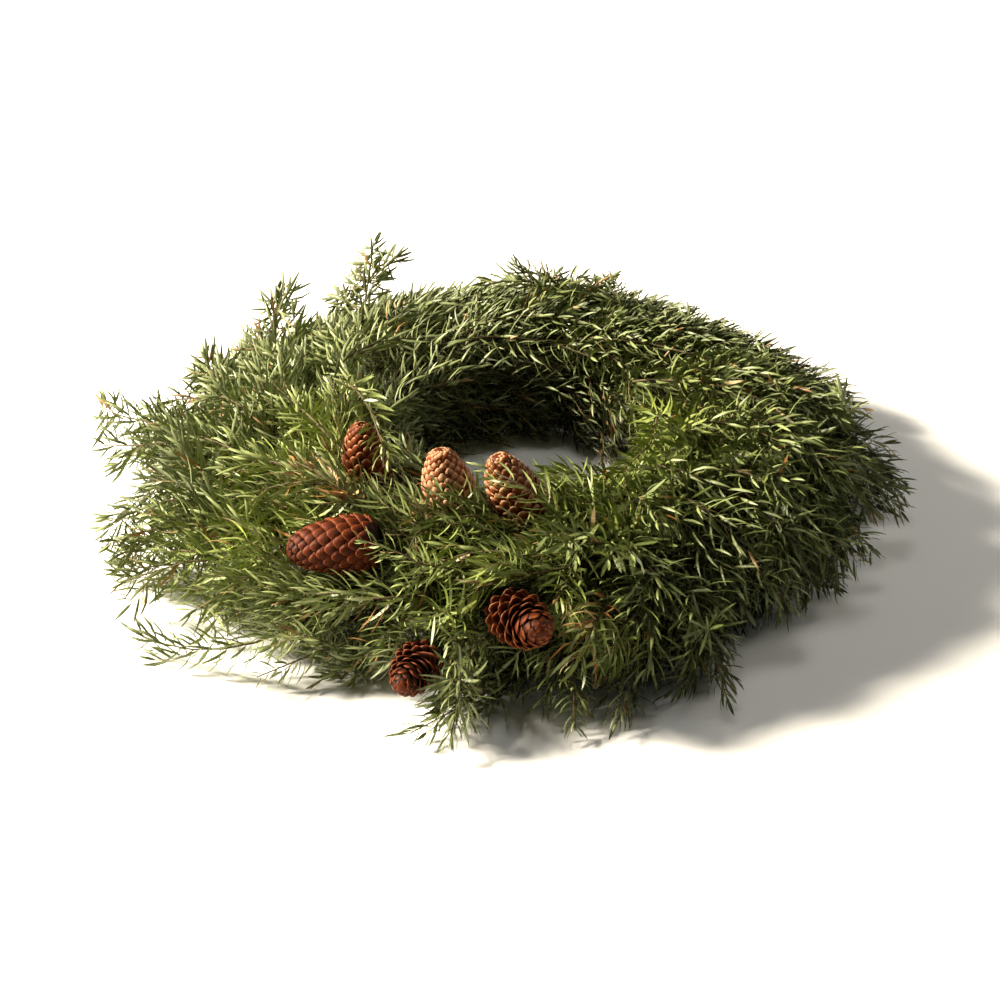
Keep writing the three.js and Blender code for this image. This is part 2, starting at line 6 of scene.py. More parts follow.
import bpy
import numpy as np
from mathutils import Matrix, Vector


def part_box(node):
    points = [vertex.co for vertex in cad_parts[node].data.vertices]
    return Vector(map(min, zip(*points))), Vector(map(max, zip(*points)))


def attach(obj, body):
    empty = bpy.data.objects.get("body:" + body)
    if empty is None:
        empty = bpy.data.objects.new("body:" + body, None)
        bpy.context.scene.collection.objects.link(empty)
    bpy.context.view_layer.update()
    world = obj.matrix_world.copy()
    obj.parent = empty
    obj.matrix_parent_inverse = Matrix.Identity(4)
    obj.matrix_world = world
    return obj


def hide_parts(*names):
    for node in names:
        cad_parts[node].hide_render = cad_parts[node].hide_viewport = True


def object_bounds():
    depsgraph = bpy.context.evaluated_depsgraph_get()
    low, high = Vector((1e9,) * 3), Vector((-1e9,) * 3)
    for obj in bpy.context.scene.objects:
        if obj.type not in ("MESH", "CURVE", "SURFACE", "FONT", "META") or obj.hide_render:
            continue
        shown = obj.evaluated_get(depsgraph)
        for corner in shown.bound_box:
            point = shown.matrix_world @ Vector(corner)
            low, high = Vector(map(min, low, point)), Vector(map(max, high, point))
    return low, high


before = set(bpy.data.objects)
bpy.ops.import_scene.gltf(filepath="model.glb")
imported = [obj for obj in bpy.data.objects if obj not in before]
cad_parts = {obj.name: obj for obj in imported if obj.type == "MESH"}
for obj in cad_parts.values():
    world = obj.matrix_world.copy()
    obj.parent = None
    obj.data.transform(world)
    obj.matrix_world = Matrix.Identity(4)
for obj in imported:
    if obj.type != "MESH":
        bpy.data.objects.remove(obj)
cad_low, cad_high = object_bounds()


# Straw ring: dry straw packed into a rope, tied and bent to a hoop, flat where it lies on the table.
# Every stem and pick is pushed into it, so only its underside and glimpses between leaves show.

MM = 0.001
RING_RADIUS = 135.0
RING_TUBE = 31.0
RING_CENTRE_HEIGHT = 28.5
RING_STEPS = 216
SECTION_STEPS = 48
STALKS_ROUND = 34
STALK_RELIEF = 0.9
STALK_MEAN = 0.7
FRAY_RELIEF = 0.5
BUNDLES = 12
WIRE_BITE = 1.6
WIRE_BITE_WIDTH = 2.6
GROOVE_UNDER = 3.0
STRAW_LIGHT = (0.20, 0.14, 0.06, 1.0)
STRAW_DARK = (0.05, 0.032, 0.014, 1.0)

ring_low, ring_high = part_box("straw_ring")
RING_MIDDLE = np.array([(ring_low.x + ring_high.x) / 2, (ring_low.y + ring_high.y) / 2, 0.0]) / MM


def new_object(name, data):
    thing = bpy.data.objects.new(name, data)
    bpy.context.scene.collection.objects.link(thing)
    return thing


def make_mesh(name, points, faces, replaced, materials, sharp=None):
    """A piece from points in millimetres round the ring's middle, and faces of 3 or 4 corners."""
    mesh = bpy.data.meshes.new(name)
    corners = np.concatenate([group.ravel() for group in faces]).astype(np.int32)
    sizes = np.concatenate([np.full(len(group), group.shape[1]) for group in faces])
    mesh.vertices.add(len(points))
    mesh.vertices.foreach_set("co", ((points + RING_MIDDLE) * MM).astype(np.float32).ravel())
    mesh.loops.add(len(corners))
    mesh.loops.foreach_set("vertex_index", corners)
    mesh.polygons.add(len(sizes))
    mesh.polygons.foreach_set("loop_start", (np.cumsum(sizes) - sizes).astype(np.int32))
    mesh.polygons.foreach_set("use_smooth", np.ones(len(sizes), dtype=bool))
    mesh.update(calc_edges=True)
    if sharp is not None:
        ends = np.zeros(len(mesh.edges) * 2, dtype=np.int32)
        mesh.edges.foreach_get("vertices", ends)
        rails = sharp[ends.reshape(-1, 2)]
        mesh.edges.foreach_set("use_edge_sharp", (rails[:, 0] & rails[:, 1]) > 0)
    for material in materials:
        mesh.materials.append(material)
    piece = new_object(name, mesh)
    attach(piece, "root")
    if replaced:
        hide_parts(*replaced)
    return piece


def grid_faces(rows, columns, wrap_rows, wrap_columns):
    """Quads of a grid of points, with the outside on the side that the rows turn towards."""
    row, column = np.meshgrid(np.arange(rows if wrap_rows else rows - 1),
                              np.arange(columns if wrap_columns else columns - 1), indexing="ij")
    below, beside = (row + 1) % rows, (column + 1) % columns
    here = row * columns + column
    return np.stack([here, row * columns + beside, below * columns + beside, below * columns + column],
                    axis=-1).reshape(-1, 4)


def join(output, socket):
    output.id_data.links.new(output, socket)


def set_input(node, name, value):
    node.inputs[name].default_value = value


def new_material(name, roughness, specular):
    material = bpy.data.materials.new(name)
    material.use_nodes = True
    nodes = material.node_tree.nodes
    shader = nodes["Principled BSDF"]
    set_input(shader, "Roughness", roughness)
    set_input(shader, "Specular IOR Level", specular)
    return material, nodes, shader


def noise(nodes, scale, detail, stretch=(1.0, 1.0, 1.0)):
    """Noise in the piece's own space, drawn out along an axis by a smaller stretch."""
    place = nodes.new("ShaderNodeTexCoord")
    mapping = nodes.new("ShaderNodeMapping")
    set_input(mapping, "Scale", stretch)
    texture = nodes.new("ShaderNodeTexNoise")
    set_input(texture, "Scale", scale)
    set_input(texture, "Detail", detail)
    join(place.outputs["Object"], mapping.inputs["Vector"])
    join(mapping.outputs["Vector"], texture.inputs["Vector"])
    return texture.outputs["Fac"]


def blend_colours(nodes, factor, low, high, start=0.3, end=0.7):
    ramp = nodes.new("ShaderNodeValToRGB")
    ramp.color_ramp.elements[0].position = start
    ramp.color_ramp.elements[1].position = end
    ramp.color_ramp.elements[0].color = low
    ramp.color_ramp.elements[1].color = high
    join(factor, ramp.inputs["Fac"])
    return ramp.outputs["Color"]


def raise_bumps(nodes, shader, height, strength, distance):
    bump = nodes.new("ShaderNodeBump")
    set_input(bump, "Strength", strength)
    set_input(bump, "Distance", distance)
    join(height, bump.inputs["Height"])
    join(bump.outputs["Normal"], shader.inputs["Normal"])


def from_wire(azimuth, section):
    """Distance along the ring from the nearest turn of wire, in millimetres, at two angles in degrees."""
    pitch = 360 / BUNDLES
    phase = (azimuth - section / BUNDLES + pitch / 2) % pitch - pitch / 2
    return np.radians(phase) * RING_RADIUS


def ring_surface():
    """The rope's skin: stalks that wander as they run round, frayed ends, and the bites of the wire."""
    azimuth, section = np.meshgrid(np.arange(RING_STEPS) * 360 / RING_STEPS,
                                   np.arange(SECTION_STEPS) * 360 / SECTION_STEPS - 90, indexing="ij")
    around, along = np.radians(section), np.radians(azimuth)
    wander = 2.2 * np.sin(2 * along + 1) + 1.5 * np.sin(5 * along + around) + 0.8 * np.sin(11 * along)
    stalk = np.abs(np.sin((STALKS_ROUND * around + wander) / 2))
    frayed = np.sin(23 * along + 7 * around) * np.sin(17 * along - 9 * around)
    bite = np.exp(-(from_wire(azimuth, section) / WIRE_BITE_WIDTH) ** 2)
    tube = RING_TUBE + STALK_RELIEF * (stalk - STALK_MEAN) + FRAY_RELIEF * frayed - WIRE_BITE * bite
    radius = RING_RADIUS + tube * np.cos(around)
    lowest = GROOVE_UNDER * np.exp(-(from_wire(azimuth, -90 + 0 * section) / WIRE_BITE_WIDTH) ** 2)
    height = np.maximum(RING_CENTRE_HEIGHT + tube * np.sin(around), lowest)
    return np.stack([radius * np.cos(along), radius * np.sin(along), height], axis=-1).reshape(-1, 3)


straw, nodes, shader = new_material("dry_straw", 0.8, 0.25)
strands = noise(nodes, 160.0, 6.0, (1.0, 1.0, 2.5))
join(blend_colours(nodes, strands, STRAW_DARK, STRAW_LIGHT), shader.inputs["Base Color"])
raise_bumps(nodes, shader, strands, 0.6, 0.0012)
make_mesh("straw_rope", ring_surface(), [grid_faces(RING_STEPS, SECTION_STEPS, True, True)[:, ::-1]],
          ["straw_ring"], [straw])


# Binding wire: thin green lacquered steel wound once round the straw for each bundle of sprays, and
# pulled so tight that it bites into the straw. Underneath it lies in grooves, clear of the table.

WIRE_RADIUS = 0.9
WIRE_LIFT = 0.2
WIRE_HEIGHT_UNDER = 1.3
WIRE_SIDES = 8
WIRE_STEPS = 44
WIRE_GREEN = (0.035, 0.06, 0.03, 1.0)
WIRE_BARE = (0.16, 0.17, 0.15, 1.0)
ODD_WAY = np.array([0.31, 0.17, 0.93])


def unit(vectors):
    return vectors / np.maximum(np.linalg.norm(vectors, axis=-1, keepdims=True), 1e-9)


def tube_mesh(path, radii, sides, closed):
    """Rings of points round a path, and their faces. An open tube's ends are closed by fans."""
    path = np.asarray(path, dtype=float)
    if closed:
        direction = unit(np.roll(path, -1, axis=0) - np.roll(path, 1, axis=0))
    else:
        direction = unit(np.gradient(path, axis=0))
    guide = ODD_WAY
    first = []
    for way in direction:
        guide = guide - way * guide.dot(way)
        guide = guide / np.linalg.norm(guide)
        first.append(guide)
    first = np.array(first)
    second = np.cross(direction, first)
    angle = np.arange(sides) * 2 * math.pi / sides
    reach = np.broadcast_to(np.asarray(radii, dtype=float), (len(path),))[:, None, None]
    spokes = first[:, None] * np.cos(angle)[:, None] + second[:, None] * np.sin(angle)[:, None]
    points = (path[:, None] + reach * spokes).reshape(-1, 3)
    quads = grid_faces(len(path), sides, closed, True)
    last = (len(path) - 1) * sides
    if closed:
        turn = int(np.argmin(np.linalg.norm(points[:sides] - points[last], axis=1)))
        column = np.arange(sides)
        quads[last:] = np.stack([last + column, last + (column + 1) % sides,
                                 (column + 1 + turn) % sides, (column + turn) % sides], axis=-1)
        return points, [quads]
    fan = np.arange(1, sides - 1)
    caps = np.concatenate([np.stack([0 * fan, fan + 1, fan], axis=-1),
                           np.stack([0 * fan + last, last + fan, last + fan + 1], axis=-1)])
    return points, [quads, caps]


def ring_point(azimuth, section, distance):
    along, around = np.radians(azimuth), np.radians(section)
    radius = RING_RADIUS + distance * np.cos(around)
    return np.stack([radius * np.cos(along), radius * np.sin(along),
                     RING_CENTRE_HEIGHT + distance * np.sin(around)], axis=-1)


turns = np.arange(BUNDLES * WIRE_STEPS) / WIRE_STEPS
section = (turns % 1) * 360 - 90
wire_path = ring_point(turns * 360 / BUNDLES - 90 / BUNDLES, section, RING_TUBE + WIRE_LIFT)
wire_path[:, 2] = np.maximum(wire_path[:, 2], WIRE_HEIGHT_UNDER)
lacquer, nodes, shader = new_material("green_lacquered_wire", 0.35, 0.5)
set_input(shader, "Metallic", 0.5)
worn = noise(nodes, 900.0, 3.0)
join(blend_colours(nodes, worn, WIRE_GREEN, WIRE_BARE, 0.55, 0.75), shader.inputs["Base Color"])
points, faces = tube_mesh(wire_path, WIRE_RADIUS, WIRE_SIDES, True)
make_mesh("wound_wire", points, faces, ["binding_wire"], [lacquer])


# Conifer cones: six dry brown cones. Each is a woody core with thin scales that overlap in spirals,
# bleached along their rims and lit there by a painted highlight, with painted shade on the scale bases,
# undersides and core. Two at the front have opened. A wire pick holds each one to the straw.

CONE_LENGTH = 62.0
CONE_WIDTH = 40.0
GOLDEN_ANGLE = math.radians(137.508)
SCALE_LENGTH = 15.0
SCALE_THICKNESS = 1.5
SCALE_DOME = 2.9
SCALE_ROWS = (0.0, 0.45, 0.75, 0.93, 1.0)
SCALE_COLUMNS = 6
SCALE_LEAN = 22.0
SCALE_CURL = -26.0
OPEN_LEAN = 28.0
OPEN_CURL = 56.0
SCALE_OVERLAP = 1.45
APEX_CROWDING = 3.5
CORE_SHARE = 0.55
CORE_SIDES = 12
CORE_STATIONS = np.array([0.02, 0.1, 0.2, 0.3, 0.4, 0.5, 0.6, 0.7, 0.8, 0.9, 0.96, 0.985, 0.998])
CONE_COLUMNS = ("middle", "apex", "size", "azimuth", "section", "scales", "open", "tone_and_light", "contrast")
# The next to last column shifts a whole cone lighter or darker: partly each cone's own tone, partly painted
# light on the lit cones in the middle of the crown and painted shade on the two low cones at the front.
CONES = [dict(zip(CONE_COLUMNS, row)) for row in [
    ((-127, -181, 77), (-0.97, 0.1, -0.18), 1.0, 238, 48, 147, 0.12, -0.15, 0.5),
    ((-53, -136, 92), (-0.2, 0.1, 0.97), 0.97, 251, 71, 210, 0.0, 0.44, 0.75),
    ((-10, -147, 97), (-0.4, 0, 0.92), 0.97, 269, 96, 166, 0.2, 0.28, 0.75),
    ((-110, -92, 89), (-0.1, 0.12, 0.98), 0.86, 222, 76, 150, 0.1, 0.08, 0.75),
    ((-4, -249, 64), (0.42, -0.85, 0.3), 0.94, 266, 20, 84, 1.0, -0.16, 0.75),
    ((-74, -262, 35), (-0.25, -0.95, 0.18), 0.8, 263, -6, 84, 0.9, -0.3, 0.75),
]]
PICK_RADIUS = 0.9
PICK_DEPTH = 12.0
PICK_SIDES = 8
PICK_IN_CONE = 6.0
PICK_BEND = 1.6
PICK_OVER_STRAW = 2.0
SCALE_DARK = (0.012, 0.003, 0.001, 1.0)
SCALE_BROWN = (0.072, 0.012, 0.0015, 1.0)
SCALE_RIM = (0.165, 0.041, 0.009, 1.0)
SCALE_BLEACHED_AND_LIT = (0.380, 0.205, 0.115, 1.0)


def cone_axis(cone):
    middle = np.array(cone["middle"], dtype=float)
    direction = unit(np.array(cone["apex"], dtype=float))
    half = direction * cone["size"] * CONE_LENGTH / 2
    return middle - half, middle + half, direction, cone["size"] * CONE_WIDTH / 2


def as_share(value):
    """A share, held between nought and one."""
    return np.clip(value, 0, 1)


def cone_profile(along):
    """Half width of a cone from base to apex: blunt base, fullest a third of the way up."""
    return CONE_WIDTH / 2 * np.sin(math.pi * (0.09 + 0.91 * as_share(along)) ** 0.72) ** 0.42


def scale_size(along):
    """Size of a scale from base to apex: full in the middle, small at both ends."""
    return np.interp(along, [0.0, 0.15, 0.55, 0.85, 1.0], [0.72, 1.0, 1.0, 0.72, 0.42])


def one_scale(rng, along, width, opening):
    """A fan-shaped scale with its tip at nought: x out of the cone, y across, z to the apex."""
    v, u = np.meshgrid(SCALE_ROWS, np.linspace(-1, 1, SCALE_COLUMNS), indexing="ij")
    slope = (cone_profile(along + 0.03) - cone_profile(along - 0.03)) / (0.06 * CONE_LENGTH)
    lean = max(math.atan(slope), -1.25) + math.radians(SCALE_LEAN + OPEN_LEAN * opening + rng.uniform(-3, 3))
    curl = math.radians(SCALE_CURL + OPEN_CURL * opening)
    length = SCALE_LENGTH * scale_size(along) * (0.8 + 0.3 * opening)
    half = width / 2 * (0.55 + 0.95 * v - 0.55 * v ** 3)
    reach = v * (1 - 0.5 * u ** 2 * v ** 2)
    angle = lean + curl * (v - 0.6)
    dome = SCALE_DOME * scale_size(along) * (1 - u ** 2) * (0.35 + 0.65 * v)
    out = length * reach * np.sin(angle) + dome
    up = length * reach * np.cos(angle) - 0.2 * dome
    outer = np.stack([out, half * u, up], axis=-1)
    thickness = SCALE_THICKNESS * (1 - 0.3 * v ** 2) * (1 - 0.35 * u ** 2)
    inner = outer - np.stack([thickness, 0 * u, 0 * u], axis=-1)
    tip = np.array([outer[-1, 2:4, 0].mean(), 0, outer[-1, 2:4, 2].mean()])
    # Lighter toward the tip, partly real bleaching and partly painted highlight; darker toward the base and
    # sides, painted shade where the scales overlap.
    tip_bleach_and_shade = 0.9 * v ** 3 - 0.15 * np.abs(u) + 0.15 * (v > 0.99)
    return (outer - tip).reshape(-1, 3), (inner - tip).reshape(-1, 3), tip_bleach_and_shade.reshape(-1)


def sheet_faces(rows, columns):
    """Outer grid, inner grid and the band that joins their edges."""
    outer = grid_faces(rows, columns, False, False)
    inner = outer[:, ::-1] + rows * columns
    edge = np.concatenate([np.arange(columns), columns * np.arange(1, rows) + columns - 1,
                           columns * (rows - 1) + np.arange(columns - 2, -1, -1),
                           columns * np.arange(rows - 2, 0, -1)])
    after = np.roll(edge, -1)
    band = np.stack([edge, edge + rows * columns, after + rows * columns, after], axis=-1)
    return np.concatenate([outer, inner, band])


def cone_mesh(index, cone):
    """Points and faces of a cone's core and scales, and a value for each point: bleached scale tips with
    painted highlight, and painted shade on the scale bases, undersides and core.
    """
    rng = np.random.default_rng(100 + index)
    base, apex, direction, _ = cone_axis(cone)
    side = unit(np.cross(direction, ODD_WAY))
    axes = np.stack([side, np.cross(direction, side), direction])
    core = np.stack([0 * CORE_STATIONS, 0 * CORE_STATIONS, (CORE_STATIONS - 0.5) * CONE_LENGTH], axis=-1)
    core_radii = cone_profile(CORE_STATIONS) * (CORE_SHARE + 0.4 * CORE_STATIONS ** 12)
    core_points, (sides, caps) = tube_mesh(core, core_radii, CORE_SIDES, False)
    # Painted shade: the core is dark, lighter only near the apex.
    core_painted_shade = np.repeat(np.interp(CORE_STATIONS, [0.9, 0.98], [-0.6, 0.05]), CORE_SIDES)
    points, quads, tip_bleach_and_shade_values, start = [core_points], [sides], [core_painted_shade], len(core_points)
    ladder = np.linspace(0.07, 0.998, 400)
    room = (cone_profile(ladder) + 1.0) / scale_size(ladder) ** 2
    crowded = 1 + APEX_CROWDING * as_share((ladder - 0.95) / 0.05)
    covered = np.cumsum(room * crowded)
    surface = 2 * math.pi * room.mean() * CONE_LENGTH
    usual = SCALE_OVERLAP * math.sqrt(surface / cone["scales"])
    for i in range(cone["scales"]):
        along = np.interp((i + 0.5) / cone["scales"] * covered[-1], covered, ladder)
        opening = cone["open"] * min(1.0, 1.5 * (1.05 - along))
        outer, inner, tip_bleach_and_shade = one_scale(rng, along, usual * scale_size(along), opening)
        scale = np.concatenate([outer, inner])
        scale[:, 0] += cone_profile(along) + rng.uniform(-0.5, 0.3)
        scale[:, 2] = np.clip(scale[:, 2] + (along - 0.5) * CONE_LENGTH, -CONE_LENGTH / 2, CONE_LENGTH / 2)
        turn = i * GOLDEN_ANGLE + rng.uniform(-0.03, 0.03)
        x = scale[:, 0] * math.cos(turn) - scale[:, 1] * math.sin(turn)
        y = scale[:, 0] * math.sin(turn) + scale[:, 1] * math.cos(turn)
        points.append(np.stack([x, y, scale[:, 2]], axis=-1))
        # Painted shade: the underside of each scale is darker.
        tip_bleach_and_shade = np.concatenate([tip_bleach_and_shade, tip_bleach_and_shade - 0.5]) * cone["contrast"]
        tip_bleach_and_shade_values.append(tip_bleach_and_shade + cone["tone_and_light"] + rng.uniform(-0.08, 0.08))
        quads.append(sheet_faces(len(SCALE_ROWS), SCALE_COLUMNS) + start)
        start += len(scale)
    placed = np.concatenate(points) * cone["size"] @ axes + (base + apex) / 2
    return placed, [np.concatenate(quads), caps], np.concatenate(tip_bleach_and_shade_values)


def set_values(piece, name, values):
    piece.data.attributes.new(name, "FLOAT", "POINT").data.foreach_set("value", values.astype(np.float32))


def own_value(nodes, name, output="Fac"):
    """What the mesh holds under this name at each point."""
    own = nodes.new("ShaderNodeAttribute")
    own.attribute_name = name
    return own.outputs[output]


def arithmetic(nodes, operation, value, amount=0.0):
    step = nodes.new("ShaderNodeMath")
    step.operation = operation
    set_input(step, 1, amount)
    join(value, step.inputs[0])
    return step


woody, nodes, shader = new_material("woody_scales", 0.55, 0.1)
grain = noise(nodes, 700.0, 5.0)
ragged = arithmetic(nodes, "MULTIPLY_ADD", grain, 0.5)
join(own_value(nodes, "tip_bleach_and_shade"), ragged.inputs[2])
# Ramp from painted shade at the scale bases to bleached, lit scale tips.
scale_colour = nodes.new("ShaderNodeValToRGB")
stops = scale_colour.color_ramp.elements
stops[0].position, stops[0].color = 0.0, SCALE_DARK
stops[1].position, stops[1].color = 1.0, SCALE_BLEACHED_AND_LIT
for place, colour in ((0.33, SCALE_BROWN), (0.78, SCALE_RIM)):
    stops.new(place).color = colour
join(ragged.outputs[0], scale_colour.inputs["Fac"])
join(scale_colour.outputs["Color"], shader.inputs["Base Color"])
raise_bumps(nodes, shader, grain, 0.35, 0.0006)

for i, cone in enumerate(CONES):
    points, faces, tip_bleach_and_shade_values = cone_mesh(i, cone)
    piece = make_mesh(f"scaled_cone_{i + 1}", points, faces, [f"cone_{i + 1}"], [woody])
    set_values(piece, "tip_bleach_and_shade", tip_bleach_and_shade_values)
    base, _, direction, _ = cone_axis(cone)
    over = ring_point(cone["azimuth"], cone["section"], RING_TUBE + PICK_OVER_STRAW)
    deep = ring_point(cone["azimuth"], cone["section"], RING_TUBE - PICK_DEPTH)
    path = [base + direction * PICK_IN_CONE, base - direction * PICK_BEND, over, deep]
    points, faces = tube_mesh(path, PICK_RADIUS, PICK_SIDES, False)
    make_mesh(f"wire_pick_{i + 1}", points, faces, [f"cone_{i + 1}_pick"], [lacquer])


# Evergreen sprays: cut conifer tips laid clockwise in five lanes, from the outer foot over the crown
# to the wall of the hole. Thin brown stems bear side twigs, and narrow leathery needles all round.

HOLE_RADIUS = 70.0
RANDOM_SEED = 22
SEED_STEP = 16807
SEED_LIMIT = 2147483647
STEM_STEPS = 6
LOWEST_STEM = 5.0
ROOM_OVER_STRAW = 7.0
ROOM_ROUND_CONE = 6.0
STEM_DEPTH_IN_RING = 13.0
AZIMUTH_SPREAD = 2
SECTION_SPREAD = 4
TIP_SPREAD = 3
RADIUS_SPREAD = 7
HEIGHT_SPREAD = 5
LEFT_REACH = 0.07
FRONT_REACH = 0.035
TWIG_ANGLE = 42.0
TWIG_DROOP = 0.2
SHOOT_DROOP = 0.1
FIRST_TWIGS = [(0.26, 1, 56.0), (0.46, -1, 50.0), (0.66, 1, 40.0)]
# Angles are in degrees. Radius, height, bend and needle length are in millimetres.
LANE_COLUMNS = ("name", "slot", "count", "first", "section", "advance", "radius", "height", "bend", "lean",
                "twig_reach", "needle", "pale")
LANES = [dict(zip(LANE_COLUMNS, row)) for row in [
    ("skirt", "foliage_outer", 12, 15, 4, 24, 274, 14, 62, 28, 1.2, 23, -0.12),
    ("shoulder", "foliage_outer", 12, 15, 44, 39, 246, 50, 66, 34, 1.1, 22, -0.12),
    ("crown", "foliage_top", 8, 22.5, 86, 42, 186, 81, 62, 48, 1.1, 18, -0.12),
    ("collar", "foliage_inner", 6, 15, 126, 58, 108, 74, 52, 66, 1.0, 18, -0.12),
    ("lining", "foliage_inner", 6, 45, 176, 52, 90, 27, 40, 72, 0.7, 16, -0.12),
]]
# Where a spray was moved, lengthened or left dry, the rest being as its lane says.
SET_OUT = {
    "crown_spray_04": {"radius": 230, "height": 102, "advance": 44, "stands_up": True, "more_reach": 0.6},
    "skirt_spray_03": {"more_reach": 0.6, "needle": 17},
    "shoulder_spray_03": {"more_reach": 0.55},
    "shoulder_spray_04": {"more_reach": 0.75},
    "shoulder_spray_05": {"more_reach": 0.7},
    "shoulder_spray_06": {"radius": 238, "height": 78, "advance": 34, "stands_up": True, "more_reach": 0.1,
                         "dry": 0.25},
    "skirt_spray_01": {"advance": 17},
    "skirt_spray_06": {"more_reach": 0.5},
    "skirt_spray_09": {"more_reach": 0.2, "needle": 17},
    "skirt_spray_10": {"radius": 280, "advance": 29, "section": -8, "height": 8, "more_reach": 0.4},
    "skirt_spray_11": {"more_reach": 0.6},
    "skirt_spray_12": {"radius": 248, "more_reach": 0.5},
    "shoulder_spray_10": {"advance": 12, "radius": 228},
    "shoulder_spray_11": {"advance": 30},
    "crown_spray_06": {"first": 49, "section": 52, "radius": 170, "advance": 36, "more_reach": 0.7,
                       "needle": 15},
    "crown_spray_07": {"more_reach": 0.55, "needle": 13},
    "lining_spray_04": {"twig_reach": 0.8},
    "lining_spray_06": {"height": 24},
    "foot_filling_14": {"radius": 205},
    "flank_filling_13": {"radius": 222},
}

MORE_TWIGS = 6
MORE_TWIG_LENGTH = 66.0
MORE_TWIG_ANGLE = 33.0
MORE_TWIG_RISES = [-55, -25, 0, 22]
LOWEST_TWIG = 0.08
TWIGS_OVER = 0.84
TWIG_TAPER = 0.45
SHOOT_AT = 0.45
SHOOT_LENGTH = 26.0
TWIG_WITH_SHOOT = 46.0
# Bare length, root radius and tip radius of each kind of wood, then its steps and sides.
STEM_WOOD = (12.0, 1.3, 0.4)
FIRST_TWIG_WOOD = (5.0, 0.75, 0.4)
MORE_TWIG_WOOD = (4.0, 0.55, 0.3)
SHOOT_WOOD = (3.0, 0.45, 0.3)
STEM_GRID = (11, 5)
TWIG_GRID = (4, 3)
NEEDLE_SPACING = 1.7
NEEDLE_THICKNESS = 0.4
COMBED = 0.28
NEEDLES_AT_MOST = 640
NEEDLES_DEEP_INSIDE = 0.4
DEEP_INSIDE = 38.0
THINNED_OVER = 12.0
ROOM_OVER_TABLE = 0.8
ROOM_ROUND_SCALES = 1.5
CREST_HEIGHT = 78.0
CREST_RADIUS = 160.0
CREST_FALL = 0.6
PRESSED = 0.6
PAST_SOLIDS = 16.5
OVER_SOLIDS = 3.0
HIGHEST = cad_high.z / MM + OVER_SOLIDS
WIDEST = (cad_high.x / MM + PAST_SOLIDS, cad_high.y / MM + PAST_SOLIDS)

DEEP_GREEN = (0.030, 0.046, 0.011)
MID_GREEN = (0.150, 0.190, 0.048)
GREY_GREEN = (0.290, 0.330, 0.175)
FRESH_GREEN = (0.290, 0.360, 0.050)
SHADED_OLD_BROWN = (0.060, 0.038, 0.014)
DEAD_ORANGE = (0.270, 0.110, 0.030)
PALE_TAN = (0.460, 0.330, 0.180)
WOOD_GREY = 0.1
BACK_SHADE = 0.32
RIGHT_SHADE = 0.18
LEFT_RIM_SHADE = 0.45
LOW_RIGHT_SHADE = 0.2
FOOT_PAINTED_SHADE = 0.6
DEAD_SHARE = 0.012
TAN_SHARE = 0.006
ORANGE_SHARE = 0.002
MOTTLE_DARK = (0.7, 0.72, 0.68, 1.0)
MOTTLE_LIGHT = (1.3, 1.26, 1.15, 1.0)
UNDERSIDE_GREEN = (0.27, 0.30, 0.15, 1.0)
UNDERSIDE_SHARE = 0.4
MIDRIB_GREEN = (0.40, 0.42, 0.19, 1.0)
LIGHT_THROUGH = (1.6, 1.7, 0.7, 1.0)
THROUGH_SHARE = 0.17
BARK_YOUNG = (0.15, 0.11, 0.038, 1.0)
BARK_OLD = (0.070, 0.052, 0.020, 1.0)
YOUNG_PATCHES = [((77, -60, 95), 48), ((-50, -215, 80), 42), ((35, -150, 95), 34), ((-150, -60, 90), 40),
                 ((-180, -140, 50), 50), ((40, -250, 40), 40)]

seed = RANDOM_SEED


def spread(amount):
    global seed
    seed = seed * SEED_STEP % SEED_LIMIT
    return (seed / SEED_LIMIT * 2 - 1) * amount


def polar(azimuth, radius, height):
    angle = math.radians(azimuth)
    return np.array([radius * math.cos(angle), radius * math.sin(angle), height])


def outward(points):
    """Direction away from the ring's centre line."""
    flat = points * [1.0, 1.0, 0.0]
    return unit(points - unit(flat) * RING_RADIUS - [0.0, 0.0, RING_CENTRE_HEIGHT])


def ring_distance(points):
    flat = np.hypot(points[..., 0], points[..., 1]) - RING_RADIUS
    return np.hypot(flat, points[..., 2] - RING_CENTRE_HEIGHT)


def from_axis(points, base, apex):
    """Nearest points on a cone's axis."""
    line = apex - base
    share = as_share(((points - base) @ line) / line.dot(line))
    return base + share[..., None] * line


def bent_clear(point):
    """A point of a stem, moved clear of the cones, the straw and the table."""
    moved = np.array(point, dtype=float)
    for cone in CONES:
        base, apex, _, half_width = cone_axis(cone)
        nearest = from_axis(moved, base, apex)
        away = moved - nearest
        distance = np.linalg.norm(away)
        if distance < half_width + ROOM_ROUND_CONE:
            moved = nearest + away / distance * (half_width + ROOM_ROUND_CONE)
    off_straw = RING_TUBE + ROOM_OVER_STRAW - ring_distance(moved)
    if off_straw > 0:
        moved = moved + outward(moved) * off_straw
    moved[2] = max(moved[2], LOWEST_STEM)
    return moved


def length_so_far(line):
    return np.concatenate([[0], np.cumsum(np.linalg.norm(np.diff(line, axis=0), axis=1))])


def smooth_line(points, steps=8):
    """A smooth line through the points, with its length so far at each step."""
    points = np.array(points)
    ends = np.concatenate([[2 * points[0] - points[1]], points, [2 * points[-1] - points[-2]]])
    t = np.linspace(0, 1, steps, endpoint=False)[:, None]
    pieces = []
    for i in range(len(points) - 1):
        p0, p1, p2, p3 = ends[i:i + 4]
        m1, m2 = 0.5 * (p2 - p0), 0.5 * (p3 - p1)
        pieces.append((2 * t ** 3 - 3 * t ** 2 + 1) * p1 + (t ** 3 - 2 * t ** 2 + t) * m1
                      + (-2 * t ** 3 + 3 * t ** 2) * p2 + (t ** 3 - t ** 2) * m2)
    line = np.concatenate(pieces + [points[-1:]])
    return line, length_so_far(line)


